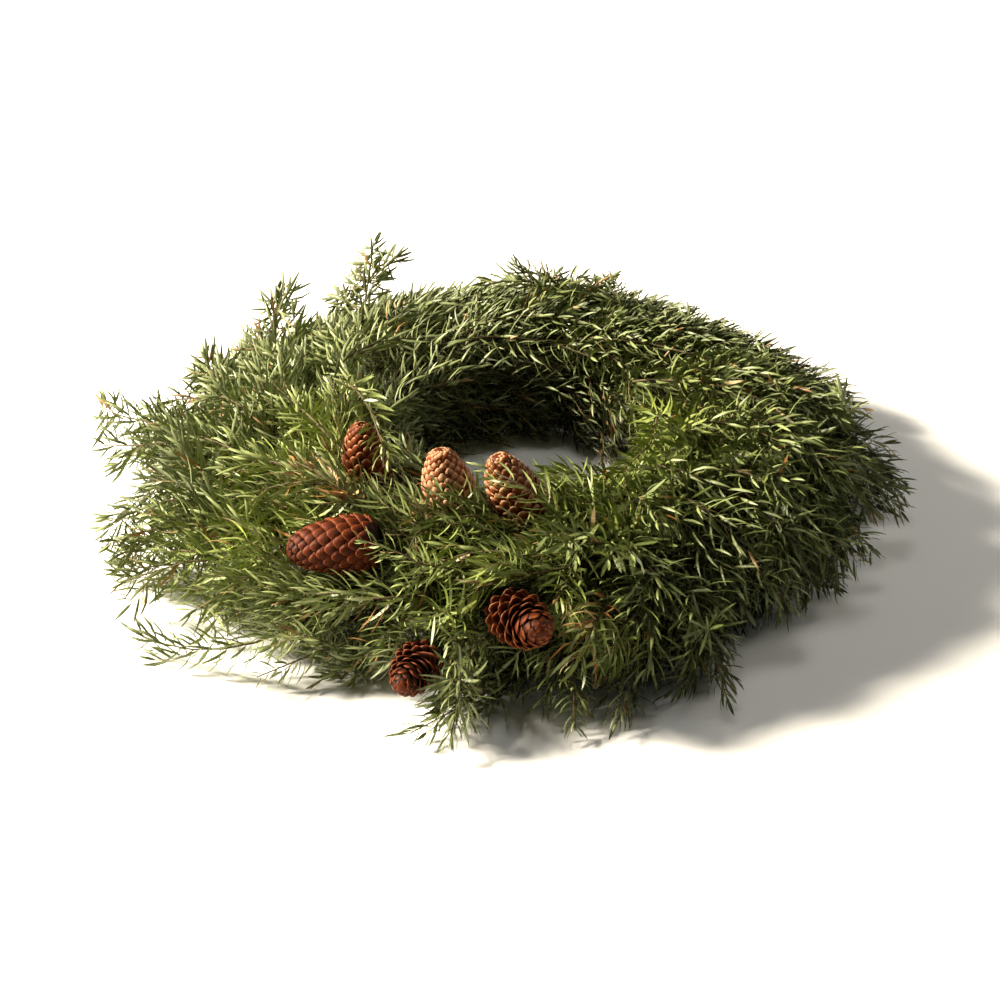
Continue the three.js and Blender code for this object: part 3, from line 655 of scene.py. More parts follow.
def pressed_down(branch):
    """The back and the right slope down to the rim, so stems that rise over that slope are bent to it.
    The bend is full from azimuth 25 to 125, and fades out beside that."""
    line, _ = branch
    azimuth = np.degrees(np.arctan2(line[:, 1], line[:, 0]))
    share = as_share((azimuth + 5) / 30) * as_share((150 - azimuth) / 25)
    slope = CREST_HEIGHT - CREST_FALL * np.maximum(np.hypot(line[:, 0], line[:, 1]) - CREST_RADIUS, 0)
    above = np.maximum(line[:, 2] - slope, 0) * share
    lowered = np.stack([line[:, 0], line[:, 1], line[:, 2] - PRESSED * above], axis=-1)
    return lowered, length_so_far(lowered)


def as_grown(branch):
    return branch


def points_along(line, length, distances):
    return np.stack([np.interp(distances, length, line[:, k]) for k in range(3)], axis=-1)


def places_along(line, length, distances):
    """Points and directions of a line at the given distances from its start."""
    ahead = points_along(line, length, distances + 1.0)
    behind = points_along(line, length, distances - 1.0)
    return points_along(line, length, distances), unit(ahead - behind)


def spray_stem(lane, index, vary):
    azimuth = lane["first"] + 360 / lane["count"] * index + lane["section"] / BUNDLES + vary(AZIMUTH_SPREAD)
    section = lane["section"] + vary(SECTION_SPREAD)
    tip_azimuth = azimuth - lane["advance"] + vary(TIP_SPREAD)
    reach = 1.0
    if lane["radius"] > RING_RADIUS:
        angle = math.radians(tip_azimuth)
        reach = 1 - LEFT_REACH * math.cos(angle) - FRONT_REACH * math.sin(angle)
    radius = lane["radius"] * reach + vary(RADIUS_SPREAD)
    tip = polar(tip_azimuth, radius, lane["height"] + vary(HEIGHT_SPREAD))
    root = ring_point(azimuth, section, RING_TUBE)
    lean = math.radians(lane["lean"])
    start = outward(root) * math.cos(lean) + polar(azimuth - 90, 1, 0) * math.sin(lean)
    bend = root + start * lane["bend"]
    t = np.linspace(0, 1, STEM_STEPS + 1)[:, None]
    curve = (1 - t) ** 2 * root + 2 * t * (1 - t) * bend + t ** 2 * tip
    stem = [curve[0]] + [bent_clear(point) for point in curve[1:]]
    return smooth_line(stem), root - start * STEM_DEPTH_IN_RING


def twig_from(stem, along, aside, length, droop, degrees=TWIG_ANGLE):
    """A side twig from a share of the stem's length. aside turns its root round the stem."""
    line, total = stem
    point, tangent = places_along(line, total, np.array([along * total[-1]]))
    point, tangent = point[0], tangent[0]
    across = unit(np.cross(tangent, outward(point)))
    out = across * math.cos(aside) + np.cross(across, tangent) * math.sin(aside)
    angle = math.radians(degrees)
    middle = point + 0.5 * length * (tangent * math.cos(angle) + out * math.sin(angle))
    end = middle + 0.5 * length * (tangent * math.cos(angle / 2) + out * math.sin(angle / 2))
    end[2] -= droop * length
    return smooth_line([point, bent_clear(middle), bent_clear(end)], 6)


def spray_branches(rng, stem, lane, twigs, first_twigs):
    """Every stem, twig and shoot of one spray: (line, bare length, root radius, tip radius)."""
    press = as_grown if lane.get("stands_up") else pressed_down
    stem = press(stem)
    branches = [(stem, *STEM_WOOD)]
    for along, side, length in first_twigs:
        twig = twig_from(stem, along, 0.0 if side > 0 else math.pi, length * lane["twig_reach"], TWIG_DROOP)
        branches.append((press(twig), *FIRST_TWIG_WOOD))
    for i in range(twigs):
        along = LOWEST_TWIG + TWIGS_OVER * (i + rng.uniform(0.2, 0.8)) / twigs
        rise = math.radians(rng.choice(MORE_TWIG_RISES) + rng.uniform(-10, 10))
        length = MORE_TWIG_LENGTH * lane["twig_reach"] * lane.get("more_reach", 1.0)
        length = length * (1 - TWIG_TAPER * along) * rng.uniform(0.72, 1.05)
        twig = twig_from(stem, along, math.pi - rise if i % 2 else rise, length,
                         TWIG_DROOP * rng.uniform(0.1, 1.0), MORE_TWIG_ANGLE * rng.uniform(0.8, 1.3))
        branches.append((press(twig), *MORE_TWIG_WOOD))
    for twig, _, _, _ in branches[1:]:
        if twig[1][-1] > TWIG_WITH_SHOOT:
            aside = rng.choice([0.0, math.pi]) + rng.uniform(-0.6, 0.6)
            shoot = twig_from(twig, SHOOT_AT + rng.uniform(-0.08, 0.08), aside,
                              SHOOT_LENGTH * rng.uniform(0.8, 1.15), SHOOT_DROOP)
            branches.append((press(shoot), *SHOOT_WOOD))
    return branches


NEEDLE_STATIONS = (0.0, 0.22, 0.52, 0.8, 1.0)
WIDTH_AT = (0.8, 1.0, 0.66)
LENGTH_FACTOR = 1.17
NEEDLE_PITCH = (58, 80)
NEEDLE_PITCH_FALL = 30.0
NEEDLE_CURVE = (0.7, 1.1)
NEEDLE_TWIST = 0.35
LEAST_WIDTH = 1.55
WIDTH_SHARE = 0.03
TIP_ZONE = 16.0


def needle_shapes(rng, branch, lane):
    """Needles of a branch, eleven points each: root, three three-sided sections and tip."""
    (line, total), bare = branch[:2]
    length = total[-1]
    usual = lane["needle"]
    distance = np.arange(min(bare, length / 3), length + 0.5, lane.get("spacing", NEEDLE_SPACING))
    count = len(distance)
    distance = distance + rng.uniform(-0.4, 0.4, count)
    root, tangent = places_along(line, total, distance)
    near_tip = as_share((distance - (length - TIP_ZONE)) / TIP_ZONE)
    turn = np.arange(count) * GOLDEN_ANGLE + rng.uniform(-0.25, 0.25, count) + rng.uniform(0, 6.28)
    turn = turn - COMBED * np.sin(2 * turn)
    across = unit(np.cross(tangent, outward(root)))
    radial = across * np.cos(turn)[:, None] + np.cross(across, tangent) * np.sin(turn)[:, None]
    swing = np.cross(tangent, radial)
    pitch = np.radians(rng.uniform(*NEEDLE_PITCH) - NEEDLE_PITCH_FALL * near_tip + rng.uniform(-6, 6, count))
    size = LENGTH_FACTOR * usual * (0.82 + 0.26 * np.sin(np.pi * np.clip(distance / length, 0.05, 1) ** 0.8))
    size = size * rng.uniform(0.86, 1.1, count) * (1 - 0.3 * near_tip) * (1 - 0.12 * np.sin(turn))
    curve = np.clip(rng.normal(rng.uniform(*NEEDLE_CURVE), 0.25, count), 0, 1.6) * (1 - 0.5 * near_tip)
    sideways = rng.normal(0.0, 0.12, count)
    twist = rng.normal(0, NEEDLE_TWIST, count)
    width = lane.get("broad", 1.0) * (LEAST_WIDTH + WIDTH_SHARE * usual) * rng.uniform(0.85, 1.12, count)
    middles = [root]
    for before, here in zip(NEEDLE_STATIONS, NEEDLE_STATIONS[1:]):
        angle = (pitch - curve * (here + before) / 2)[:, None]
        aside = swing * (sideways * here)[:, None]
        way = unit(tangent * np.cos(angle) + radial * np.sin(angle) + aside)
        middles.append(middles[-1] + way * (size * (here - before))[:, None])
    points = [root]
    for k in (1, 2, 3):
        angle = (pitch - curve * NEEDLE_STATIONS[k])[:, None]
        face = tangent * np.sin(angle) - radial * np.cos(angle)
        roll = (twist * NEEDLE_STATIONS[k])[:, None]
        side = swing * np.cos(roll) + face * np.sin(roll)
        top = face * np.cos(roll) - swing * np.sin(roll)
        half = (width * WIDTH_AT[k - 1] / 2)[:, None]
        points += [middles[k] + side * half, middles[k] - side * half, middles[k] - top * NEEDLE_THICKNESS]
    points.append(middles[4])
    return np.stack(points, axis=1), middles[2], middles[4]


BAND = [[0, 4, 3], [0, 1, 4], [0, 3, 5], [0, 5, 2], [1, 5, 4], [1, 2, 5]]
NEEDLE_FACES = np.array([[0, 2, 1], [0, 1, 3], [0, 3, 2]]
                        + [[corner + 1 for corner in face] for face in BAND]
                        + [[corner + 4 for corner in face] for face in BAND]
                        + [[7, 8, 10], [7, 10, 9], [8, 9, 10]])
NEEDLE_RAILS = np.array([3, 1, 2, 0, 1, 2, 0, 1, 2, 0, 3])
NEEDLE_ACROSS = np.array([0, 1, -1, 0, 1, -1, 0, 1, -1, 0, 0])
NEEDLE_UNDER = np.array([0, 0, 0, 1, 0, 0, 1, 0, 0, 1, 0])
NEEDLE_POINTS = 11


def clear_needles(middle, tip):
    """Which needles stay out of the hole, the table, the straw and the cones, and inside the wreath."""
    keep = np.ones(len(tip), dtype=bool)
    for place in (middle, tip):
        keep &= np.hypot(place[:, 0], place[:, 1]) > HOLE_RADIUS
        keep &= (place[:, 2] > ROOM_OVER_TABLE) & (place[:, 2] < HIGHEST)
        keep &= ring_distance(place) > RING_TUBE
        keep &= np.abs(place[:, 0] + RING_MIDDLE[0]) < WIDEST[0]
        keep &= np.abs(place[:, 1] + RING_MIDDLE[1]) < WIDEST[1]
        for cone in CONES:
            base, apex, direction, _ = cone_axis(cone)
            share = (place - base) @ direction / (cone["size"] * CONE_LENGTH)
            reach = cone["size"] * cone_profile(share) + ROOM_ROUND_SCALES
            keep &= np.linalg.norm(place - from_axis(place, base, apex), axis=1) > reach
    return keep


def toward(colours, colour, share):
    return colours * (1 - share) + np.array(colour) * share


def needle_colours(rng, middle, dry, pale):
    """Colours of a branch's needles: its own green, yellow green if young and old brown deep inside, with
    painted light and shade: lighter at the outer tips, greyer toward the lit left, darker at the back, the
    right, the left rim, the low right and deep inside.
    """
    count = len(middle)
    # Painted light and shade: needles lighter toward the outer tips; darker at the back, to the right, on the
    # far left rim and low on the right.
    outer = np.clip((ring_distance(middle) - 72) / 60, -0.6, 1)
    shade = BACK_SHADE * as_share((middle[:, 1] - 40) / 110)
    shade += RIGHT_SHADE * np.clip(middle[:, 0] / 180, -0.5, 1)
    left_rim = as_share((-middle[:, 0] - 190) / 80)
    shade += LEFT_RIM_SHADE * left_rim
    shade += LOW_RIGHT_SHADE * as_share((45 - middle[:, 2]) / 45) * as_share(middle[:, 0] / 60)
    tone = as_share(rng.normal(0.5 + pale, 0.25) + 0.22 * outer + rng.normal(0, 0.14, count) - shade)
    green = toward(np.array(DEEP_GREEN), MID_GREEN, tone[:, None])
    # Grey-green waxy needles, mixed in more toward the lit left as a painted sheen, and less on the far left
    # rim.
    left_sheen = np.clip(0.33 - middle[:, 0] / 450 - np.clip(middle[:, 1] - 60, 0, 100) / 400, 0.08, 0.85)
    left_sheen = left_sheen * (1 - 0.6 * left_rim)
    grey = left_sheen * rng.uniform(0.2, 1.0) * rng.uniform(0.6, 1.2, count)
    green = toward(green, GREY_GREEN, as_share(grey)[:, None])
    young = 0.1 * np.ones(count)
    for centre, reach in YOUNG_PATCHES:
        young += 0.8 * np.exp(-np.sum((middle - centre) ** 2, axis=1) / reach ** 2)
    young = np.clip(young, 0, 0.85) * rng.uniform(0.3, 1.0) * rng.uniform(0.7, 1.15, count)
    green = toward(green, FRESH_GREEN, as_share(young)[:, None])
    # Needles deep in the foliage turn brown: partly real old needles, partly painted shade in the depths.
    inside = np.clip((50 - ring_distance(middle)) / 14, 0, 0.92)[:, None]
    green = toward(green, SHADED_OLD_BROWN, inside)
    # Painted shade: needles low down, from the middle to the right, are darkened.
    low = as_share((60 - middle[:, 2]) / 36) * as_share((middle[:, 0] + 60) / 100)
    green *= 1 - FOOT_PAINTED_SHADE * low[:, None]
    dead = rng.uniform(0, 1, count)
    green[dead < DEAD_SHARE] = DEAD_ORANGE
    green[dead > 1 - TAN_SHARE - 0.5 * dry] = PALE_TAN
    green[dead > 1 - ORANGE_SHARE - 0.2 * dry] = DEAD_ORANGE
    return green


def add_spray(name, number, stem, in_ring, lane, twigs, first_twigs, replaced):
    """One spray as a piece: its woody tubes first, and then its needles."""
    rng = np.random.default_rng(1000 + number)
    branches = spray_branches(rng, stem, lane, twigs, first_twigs)
    points, quads, triangles, runs, start = [], [], [], [], 0
    for i, ((line, total), _, radius, tip_radius) in enumerate(branches):
        steps, around = TWIG_GRID if i else STEM_GRID
        where = points_along(line, total, np.linspace(0, total[-1], steps))
        if i == 0:
            where = np.concatenate([[in_ring], where])
        tube, (sides, caps) = tube_mesh(where, np.linspace(radius, tip_radius, len(where)), around, False)
        points.append(tube)
        quads.append(sides + start)
        triangles.append(caps + start)
        runs.append(np.full(len(tube), min(1.0, i / 3)))
        start += len(tube)
    wood, woody_triangles = start, sum(len(group) for group in triangles)
    shapes, colours = [], []
    for branch in branches:
        shape, middle, tip = needle_shapes(rng, branch, lane)
        kept_share = NEEDLES_DEEP_INSIDE + (ring_distance(tip) - DEEP_INSIDE) / THINNED_OVER
        keep = clear_needles(middle, tip) & (rng.uniform(size=len(tip)) < kept_share)
        shapes.append(shape[keep])
        colours.append(needle_colours(rng, middle[keep], lane.get("dry", 0.0), lane["pale"]))
    shapes, colours = np.concatenate(shapes), np.concatenate(colours)
    if len(shapes) > NEEDLES_AT_MOST:
        chosen = np.sort(rng.permutation(len(shapes))[:NEEDLES_AT_MOST])
        shapes, colours = shapes[chosen], colours[chosen]
    count = len(shapes)
    points = np.concatenate(points + [shapes.reshape(-1, 3)])
    offsets = wood + NEEDLE_POINTS * np.arange(count)
    triangles = np.concatenate(triangles + [(NEEDLE_FACES[None] + offsets[:, None, None]).reshape(-1, 3)])
    quads = np.concatenate(quads)

    def on_needles(pattern):
        return np.concatenate([np.zeros(wood, dtype=int), np.tile(pattern, count)])

    piece = make_mesh(name, points, [quads, triangles], replaced, [needle_skin, bark],
                      on_needles(NEEDLE_RAILS))
    woody_faces = np.zeros(len(quads) + len(triangles), dtype=np.int32)
    woody_faces[:len(quads) + woody_triangles] = 1
    piece.data.polygons.foreach_set("material_index", woody_faces)
    painted = np.ones((len(points), 4), dtype=np.float32)
    painted[:wood, :3] = WOOD_GREY
    painted[wood:, :3] = np.repeat(colours, NEEDLE_POINTS, axis=0)
    layer = piece.data.attributes.new("needle_colour", "FLOAT_COLOR", "POINT")
    layer.data.foreach_set("color", painted.ravel())
    set_values(piece, "run", np.concatenate(runs + [np.zeros(NEEDLE_POINTS * count)]))
    set_values(piece, "across", on_needles(NEEDLE_ACROSS))
    set_values(piece, "under", on_needles(NEEDLE_UNDER))


def mix_colours(nodes, factor, low, high, kind="MIX"):
    mixed = nodes.new("ShaderNodeMix")
    mixed.data_type = "RGBA"
    mixed.blend_type = kind
    for socket, value in (("Factor", factor), ("A", low), ("B", high)):
        if isinstance(value, (float, tuple)):
            set_input(mixed, socket, value)
        else:
            join(value, mixed.inputs[socket])
    return mixed.outputs["Result"]


needle_skin, nodes, shader = new_material("waxy_needles", 0.46, 0.42)
mottle = blend_colours(nodes, noise(nodes, 260.0, 4.0), MOTTLE_DARK, MOTTLE_LIGHT)
tinted = mix_colours(nodes, 1.0, own_value(nodes, "needle_colour", "Color"), mottle, "MULTIPLY")
underneath = arithmetic(nodes, "MULTIPLY", own_value(nodes, "under"), UNDERSIDE_SHARE).outputs[0]
paler = mix_colours(nodes, underneath, tinted, UNDERSIDE_GREEN)
from_midrib = arithmetic(nodes, "ABSOLUTE", own_value(nodes, "across")).outputs[0]
midrib = blend_colours(nodes, from_midrib, (0.4, 0.4, 0.4, 1), (0, 0, 0, 1), 0.06, 0.2)
ribbed = mix_colours(nodes, midrib, paler, MIDRIB_GREEN)
join(ribbed, shader.inputs["Base Color"])
raise_bumps(nodes, shader, noise(nodes, 1500.0, 2.0), 0.15, 0.0003)
glow = nodes.new("ShaderNodeBsdfTranslucent")
join(mix_colours(nodes, 1.0, ribbed, LIGHT_THROUGH, "MULTIPLY"), glow.inputs["Color"])
leaf = nodes.new("ShaderNodeMixShader")
set_input(leaf, "Fac", THROUGH_SHARE)
join(shader.outputs["BSDF"], leaf.inputs[1])
join(glow.outputs["BSDF"], leaf.inputs[2])
join(leaf.outputs["Shader"], nodes["Material Output"].inputs["Surface"])

bark, nodes, shader = new_material("twig_bark", 0.75, 0.3)
ageing = blend_colours(nodes, own_value(nodes, "run"), BARK_OLD, BARK_YOUNG, 0.0, 1.0)
join(ageing, shader.inputs["Base Color"])
raise_bumps(nodes, shader, noise(nodes, 900.0, 4.0), 0.5, 0.0005)

number = 0
for lane in LANES:
    for index in range(lane["count"]):
        node = f"{lane['name']}_spray_{index + 1:02d}"
        own_lane = {**lane, **SET_OUT.get(node, {})}
        stem, in_ring = spray_stem(own_lane, index, spread)
        name = node.replace("spray", "foliage")
        add_spray(name, number, stem, in_ring, own_lane, MORE_TWIGS, FIRST_TWIGS, [node])
        number += 1


# Filling sprays: shorter tips of the same conifer, tucked under and between the long ones until no
# straw shows. They sit in six more lanes, and some are pushed in singly where a gap was left.

# The last column darkens the filling sprays' needles, most at the foot, flank, throat and sill: painted shade
# on the layers under the long sprays.
BETWEEN_LANES = [dict(zip(LANE_COLUMNS, row)) for row in [
    ("foot", "foliage_outer", 14, 8, -16, 22, 238, 8, 44, 34, 0.9, 21, -0.5),
    ("flank", "foliage_outer", 14, 22, 24, 30, 250, 32, 56, 34, 1.0, 22, -0.5),
    ("brow", "foliage_top", 12, 28, 64, 38, 212, 66, 52, 44, 1.0, 20, -0.12),
    ("ridge", "foliage_top", 10, 10, 108, 42, 148, 80, 46, 58, 0.9, 18, -0.12),
    ("throat", "foliage_inner", 12, 0, 150, 46, 82, 48, 36, 68, 0.8, 17, -0.35),
    ("sill", "foliage_inner", 14, 20, 196, 34, 76, 8, 26, 60, 0.6, 16, -0.35),
]]
FILL_TWIGS = 5
# A positive pale lightens a sprig's needles and a negative one darkens them: the plumes on top are lightened
# as painted light, and the sprigs under the fifth and behind the sixth cone are darkened as painted shade.
# What the sprigs of one kind share. Below, the way of each stem, and what is its own.
SPRIG_KINDS = {
    "left_tip": {"spacing": 1.6, "pale": 0.0},
    "front_tip": {"spacing": 1.7},
    "crest_tip": {"spacing": 1.7, "needle": 16, "stands_up": True},
    "back_plume": {"needle": 21, "pale": 0.05},
    "right_plume": {"needle": 22, "pale": 0.22},
    "front_plume": {"needle": 19, "pale": 0.35, "broad": 1.25, "dry": 0.1},
    "left_plume": {"needle": 22, "pale": 0.3},
    "back_cover": {"needle": 18, "twig_reach": 0.9},
}
SINGLE_SPRIGS = {
    "left_tip_1": ([(-226, -20, 64), (-262, -3, 64), (-292, 20, 58), (-309, 46, 50)], {"needle": 24}),
    "left_tip_2": ([(-236, -29, 62), (-268, -19, 56), (-301, -3, 46)], {"needle": 23}),
    "left_tip_3": ([(-229, -95, 58), (-257, -92, 50), (-289, -87, 40)], {}),
    "left_tip_4": ([(-227, -122, 55), (-255, -114, 46), (-285, -117, 36)], {}),
    "left_tip_5": ([(-217, -154, 48), (-245, -151, 38), (-272, -147, 26)], {}),
    "low_left_tip": (
        [(-130, -192, 34), (-180, -219, 26), (-225, -210, 16), (-258, -190, 14)],
        {"spacing": 1.6, "pale": 0.0}),
    "front_tip_1": ([(-40, -240, 46), (-44, -280, 34), (-50, -306, 14)], {"needle": 19, "twig_reach": 0.5}),
    "front_tip_2": ([(32, -205, 38), (18, -245, 26), (8, -266, 12)], {}),
    "front_tip_3": ([(76, -205, 36), (64, -252, 22), (55, -280, 10)], {"twig_reach": 0.6}),
    "front_tip_5": ([(34, -205, 40), (28, -255, 26), (28, -287, 8)], {"needle": 16, "twig_reach": 0.4}),
    "under_fifth_cone": ([(-60, -196, 52), (-52, -232, 42), (-42, -262, 26)], {"pale": -0.35, "needle": 16}),
    "behind_sixth_cone": ([(-90, -190, 50), (-84, -222, 46), (-72, -240, 40)], {"pale": -0.3, "needle": 16}),
    "young_plume": (
        [(92, -35, 92), (84, -78, 94), (62, -112, 92), (44, -140, 88)], {"pale": 0.4, "needle": 15}),
    "front_tip_4": ([(104, -180, 44), (114, -225, 34), (125, -262, 14)], {"needle": 17, "twig_reach": 0.4}),
    "right_tip_1": ([(205, -32, 60), (244, -59, 52), (261, -58, 40)], {}),
    "right_tip_2": ([(200, -95, 54), (218, -112, 44), (228, -114, 32)], {"needle": 17}),
    "low_right_tip": ([(181, -110, 42), (197, -132, 28), (207, -139, 14)], {"needle": 17, "twig_reach": 0.4}),
    "crest_tip_1": (
        [(14, 138, 92), (2, 147, 101), (-7, 156, 109)], {"spacing": 1.5, "needle": 19, "twig_reach": 0.9}),
    "crest_tip_2": (
        [(40, 130, 90), (26, 144, 96), (17, 153, 102)],
        {"spacing": 1.5, "needle": 18, "twig_reach": 0.9, "dry": 0.1}),
    "crest_tip_6": (
        [(72, 122, 88), (60, 138, 93), (50, 150, 97)], {"spacing": 1.5, "needle": 17, "twig_reach": 0.9}),
    "crest_tip_3": ([(112, 94, 78), (107, 106, 80), (101, 112, 82)], {}),
    "crest_tip_4": ([(178, 56, 70), (176, 72, 74), (173, 84, 76)], {}),
    "crest_tip_5": ([(222, 0, 64), (226, 18, 66), (224, 42, 64)], {"needle": 15}),
    "upper_left_tip": (
        [(-208, 15, 74), (-224, 44, 76), (-236, 80, 74)], {"needle": 17, "dry": 0.3, "stands_up": True}),
    "back_plume_1": ([(-90, 28, 78), (-55, 64, 70), (-12, 80, 56), (27, 76, 44)], {}),
    "back_plume_2": ([(-70, 75, 87), (-26, 96, 84), (18, 91, 78), (57, 69, 74)], {}),
    "back_plume_3": ([(-34, 112, 94), (11, 119, 96), (55, 106, 95), (93, 76, 92)], {}),
    "back_plume_4": (
        [(-104, -35, 90), (-80, 37, 60), (-44, 70, 40), (-8, 80, 22)], {"pale": 0.2, "needle": 20}),
    "back_plume_5": ([(47, 93, 86), (90, 78, 94), (135, 48, 97), (172, 16, 92)], {"pale": 0.2}),
    "right_plume_1": ([(75, 47, 70), (115, 13, 94), (155, -17, 96), (191, -47, 86)], {}),
    "right_plume_2": ([(104, -60, 97), (145, -62, 97), (185, -76, 85), (213, -91, 64)], {}),
    "right_plume_3": ([(87, -115, 98), (126, -131, 91), (159, -146, 76), (182, -157, 52)], {}),
    "right_plume_4": ([(72, -150, 95), (104, -172, 85), (126, -191, 66), (140, -202, 40)], {}),
    "right_plume_5": ([(58, -187, 87), (80, -206, 73), (93, -222, 52), (97, -227, 26)], {}),
    "front_plume_1": ([(-6, -202, 84), (-32, -200, 85), (-57, -204, 79), (-80, -214, 68)], {}),
    "front_plume_2": ([(26, -209, 79), (-3, -216, 77), (-32, -225, 69), (-51, -234, 55)], {}),
    "front_plume_3": (
        [(-32, -172, 93), (-51, -173, 92), (-71, -179, 88), (-93, -189, 81)], {"pale": 0.3, "needle": 17}),
    "front_plume_4": ([(52, -191, 86), (26, -196, 85), (3, -208, 81), (-14, -223, 71)], {"pale": 0.3}),
    "left_plume_1": (
        [(-83, -218, 62), (-109, -213, 58), (-142, -202, 42), (-170, -185, 24)],
        {"broad": 1.15, "dry": 0.08}),
    "left_plume_2": ([(-149, -193, 45), (-177, -175, 38), (-208, -150, 24), (-236, -138, 14)], {}),
    "left_plume_3": ([(-170, -154, 66), (-196, -128, 62), (-232, -85, 44), (-259, -62, 32)], {}),
    "left_plume_4": ([(-160, -103, 89), (-189, -80, 84), (-225, -32, 70), (-256, 0, 56)], {}),
    "left_plume_5": (
        [(-134, -77, 96), (-157, -35, 96), (-182, 13, 90), (-203, 60, 76)], {"pale": 0.15, "needle": 19}),
    "left_plume_6": (
        [(-116, -20, 95), (-129, 19, 97), (-146, 66, 95), (-158, 120, 82)], {"pale": 0.15, "needle": 18}),
    "right_plume_6": ([(123, 29, 98), (158, 23, 97), (193, 9, 89), (220, -17, 76)], {"needle": 21}),
    "right_plume_7": ([(159, -51, 96), (192, -67, 85), (220, -75, 66), (237, -80, 40)], {}),
    "right_plume_8": ([(141, -113, 93), (174, -128, 78), (197, -141, 56), (208, -140, 22)], {}),
    "right_plume_9": ([(105, -149, 92), (134, -170, 78), (151, -187, 58), (155, -196, 36)], {}),
    "right_plume_10": ([(71, -202, 80), (102, -216, 58), (117, -222, 32), (123, -219, 4)], {}),
    "front_plume_5": (
        [(70, -224, 64), (64, -240, 44), (54, -244, 19), (47, -255, 4)],
        {"pale": 0.15, "needle": 20, "broad": 1.0, "dry": 0.0}),
    "front_plume_6": (
        [(-32, -244, 47), (-41, -248, 26), (-50, -250, 4), (-58, -276, 4)],
        {"pale": 0.15, "needle": 20, "twig_reach": 0.5, "broad": 1.0, "dry": 0.0}),
    "left_plume_7": (
        [(-121, -139, 92), (-148, -123, 90), (-178, -117, 80), (-202, -112, 68)],
        {"pale": 0.25, "needle": 17, "twig_reach": 0.5, "broad": 1.15, "dry": 0.08}),
    "left_plume_8": (
        [(-115, -209, 60), (-142, -199, 51), (-170, -185, 34), (-194, -157, 4)],
        {"pale": 0.25, "needle": 18}),
    "left_plume_9": (
        [(-201, -14, 86), (-230, 29, 67), (-257, 48, 54), (-273, 39, 55)], {"pale": 0.1, "needle": 19}),
    "back_plume_6": ([(-135, 10, 98), (-114, 49, 98), (-84, 77, 94), (-50, 94, 91)], {}),
    "back_plume_7": (
        [(-77, 40, 72), (-48, 58, 48), (-19, 71, 34), (10, 72, 32)], {"pale": 0.2, "needle": 20}),
    "back_cover_1": ([(-121, 70, 86), (-95, 103, 92), (-59, 127, 92)], {}),
    "back_cover_2": ([(-152, 106, 70), (-124, 137, 72), (-84, 165, 68)], {}),
    "back_cover_3": ([(-159, 159, 44), (-116, 193, 44), (-62, 216, 38)], {}),
    "back_cover_4": ([(-92, 131, 86), (-48, 150, 89), (0, 155, 88)], {}),
    "back_cover_5": ([(-102, 178, 60), (-53, 198, 60), (7, 205, 52)], {}),
    "back_cover_6": ([(-100, 212, 30), (-50, 236, 28), (8, 244, 20)], {}),
    "back_cover_7": ([(-190, 110, 42), (-168, 150, 40), (-140, 186, 34)], {}),
    "back_cover_8": ([(-130, 96, 60), (-120, 130, 58), (-104, 158, 50)], {}),
    "beside_first_cone": (
        [(-63, -216, 84), (-79, -217, 93), (-95, -212, 97), (-107, -207, 98)],
        {"pale": 0.3, "needle": 14, "twig_reach": 0.35, "as_set": True}),
    "past_third_cone": (
        [(21, -172, 92), (10, -176, 108), (-6, -172, 118), (-22, -164, 122), (-31, -156, 123)],
        {"pale": 0.7, "needle": 18, "twig_reach": 0.5, "stands_up": True, "as_set": True}),
    "past_fourth_cone": (
        [(-126, -26, 106), (-111, -78, 116), (-97, -114, 114), (-90, -132, 104)],
        {"pale": 0.3, "needle": 17, "twig_reach": 0.5}),
    "rusty_sprig": (
        [(-107, -129, 78), (-120, -146, 96), (-139, -130, 101), (-156, -111, 99)],
        {"needle": 17, "twig_reach": 0.5, "dry": 0.8}),
    "tan_sprig": (
        [(54, -204, 62), (44, -242, 64), (26, -262, 64)],
        {"spacing": 1.7, "pale": 0.6, "needle": 24, "broad": 1.35, "dry": 0.55}),
}
SINGLE_LANE = {"slot": "foliage_outer", "twig_reach": 0.75, "needle": 21, "pale": 0.15, "spacing": 2.1}
SINGLE_TWIGS = 4
BACK_STEM = 14.0
FILLING_SPREAD = 1.5


def filling_spread(amount):
    return rng.uniform(-FILLING_SPREAD * amount, FILLING_SPREAD * amount)


for lane in BETWEEN_LANES:
    for index in range(lane["count"]):
        rng = np.random.default_rng(500 + number)
        name = f"{lane['name']}_filling_{index + 1:02d}"
        own_lane = {**lane, **SET_OUT.get(name, {})}
        stem, in_ring = spray_stem(own_lane, index, filling_spread)
        add_spray(name, number, stem, in_ring, own_lane, FILL_TWIGS, FIRST_TWIGS, [])
        number += 1
for name, (way, changes) in SINGLE_SPRIGS.items():
    way = np.array(way, dtype=float)
    own_lane = {**SINGLE_LANE, **SPRIG_KINDS.get(name.rstrip("_0123456789"), {}), **changes}
    x, y, z = way[0]
    section = math.degrees(math.atan2(z - RING_CENTRE_HEIGHT, math.hypot(x, y) - RING_RADIUS))
    root = ring_point(math.degrees(math.atan2(y, x)) + BACK_STEM, section, RING_TUBE)
    if "as_set" not in own_lane:
        way = [bent_clear(point) for point in way]
    stem = smooth_line([root, *way])
    in_ring = root - outward(root) * STEM_DEPTH_IN_RING
    add_spray(name, number, stem, in_ring, own_lane, SINGLE_TWIGS, [], [])
    number += 1


# Floor, light and camera: a plain pale table top, soft warm light from the upper left and behind as
# the wreath was lit, and a long lens that looks down on it from the front.

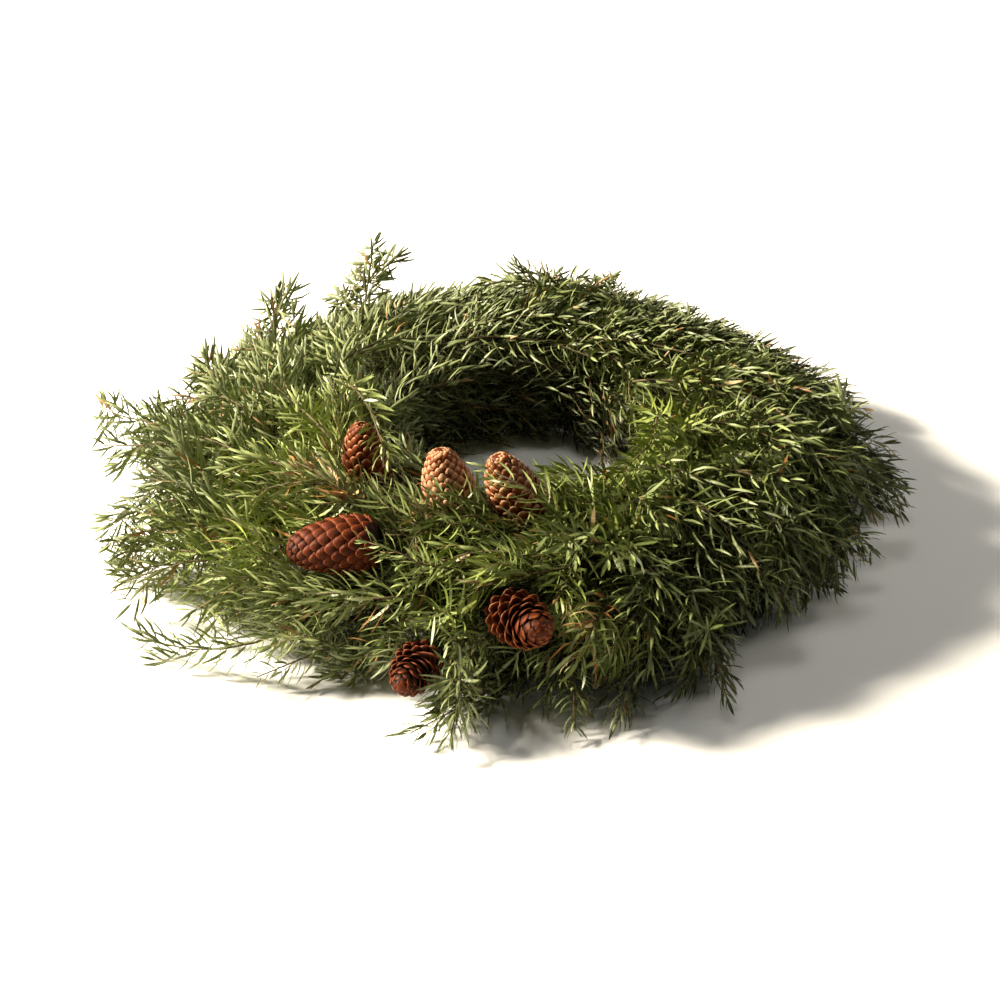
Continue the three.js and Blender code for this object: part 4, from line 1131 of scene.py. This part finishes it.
FLOOR_COLOUR = (0.92, 0.92, 0.91, 1.0)
FLOOR_SIZE = 60.0
FLOOR_DROP = 0.0005
SKY_COLOUR = (0.95, 0.97, 1.0, 1.0)
SKY_STRENGTH = 0.032
LIGHT_SIZE = 0.8
LIGHT_TARGET = (0, 0, 0.05)
CAMERA_ELEVATION = 32.0
CAMERA_DISTANCE = 1900.0
CAMERA_TARGET = np.array([-19.0, -2.0, 0.0])
CAMERA_LENS = 95.0

bpy.ops.mesh.primitive_plane_add(size=FLOOR_SIZE, location=(0, 0, -FLOOR_DROP))
floor = bpy.context.object
floor.name = "floor"
plaster, nodes, shader = new_material("pale_floor", 0.7, 0.2)
set_input(shader, "Base Color", FLOOR_COLOUR)
floor.data.materials.append(plaster)

world = bpy.data.worlds.new("studio")
bpy.context.scene.world = world
world.use_nodes = True
sky = world.node_tree.nodes["Background"]
set_input(sky, "Color", SKY_COLOUR)
set_input(sky, "Strength", SKY_STRENGTH)


def add_light(name, place, power, colour):
    light = bpy.data.lights.new(name, "AREA")
    light.shape = "DISK"
    light.size = LIGHT_SIZE
    light.energy = power
    light.color = colour
    holder = new_object(name, light)
    holder.location = place
    holder.rotation_euler = (Vector(LIGHT_TARGET) - Vector(place)).to_track_quat("-Z", "Y").to_euler()


add_light("key", (-2.6, 0.45, 1.6), 545.0, (1.0, 0.90, 0.73))
add_light("side_fill", (1.7, 0.7, 0.9), 13.0, (1.0, 0.94, 0.82))
add_light("top_panel", (0.0, 0.2, 2.4), 9.0, (1.0, 0.97, 0.92))

elevation = math.radians(CAMERA_ELEVATION)
target = (CAMERA_TARGET + RING_MIDDLE) * MM
lens = bpy.data.cameras.new("camera")
lens.lens = CAMERA_LENS
lens.sensor_width = 36.0
lens.clip_end = 50.0
camera = new_object("camera", lens)
camera.location = target + np.array([0, -math.cos(elevation), math.sin(elevation)]) * CAMERA_DISTANCE * MM
camera.rotation_euler = (math.pi / 2 - elevation, 0, 0)
bpy.context.scene.camera = camera
bpy.context.scene.view_settings.view_transform = "Standard"
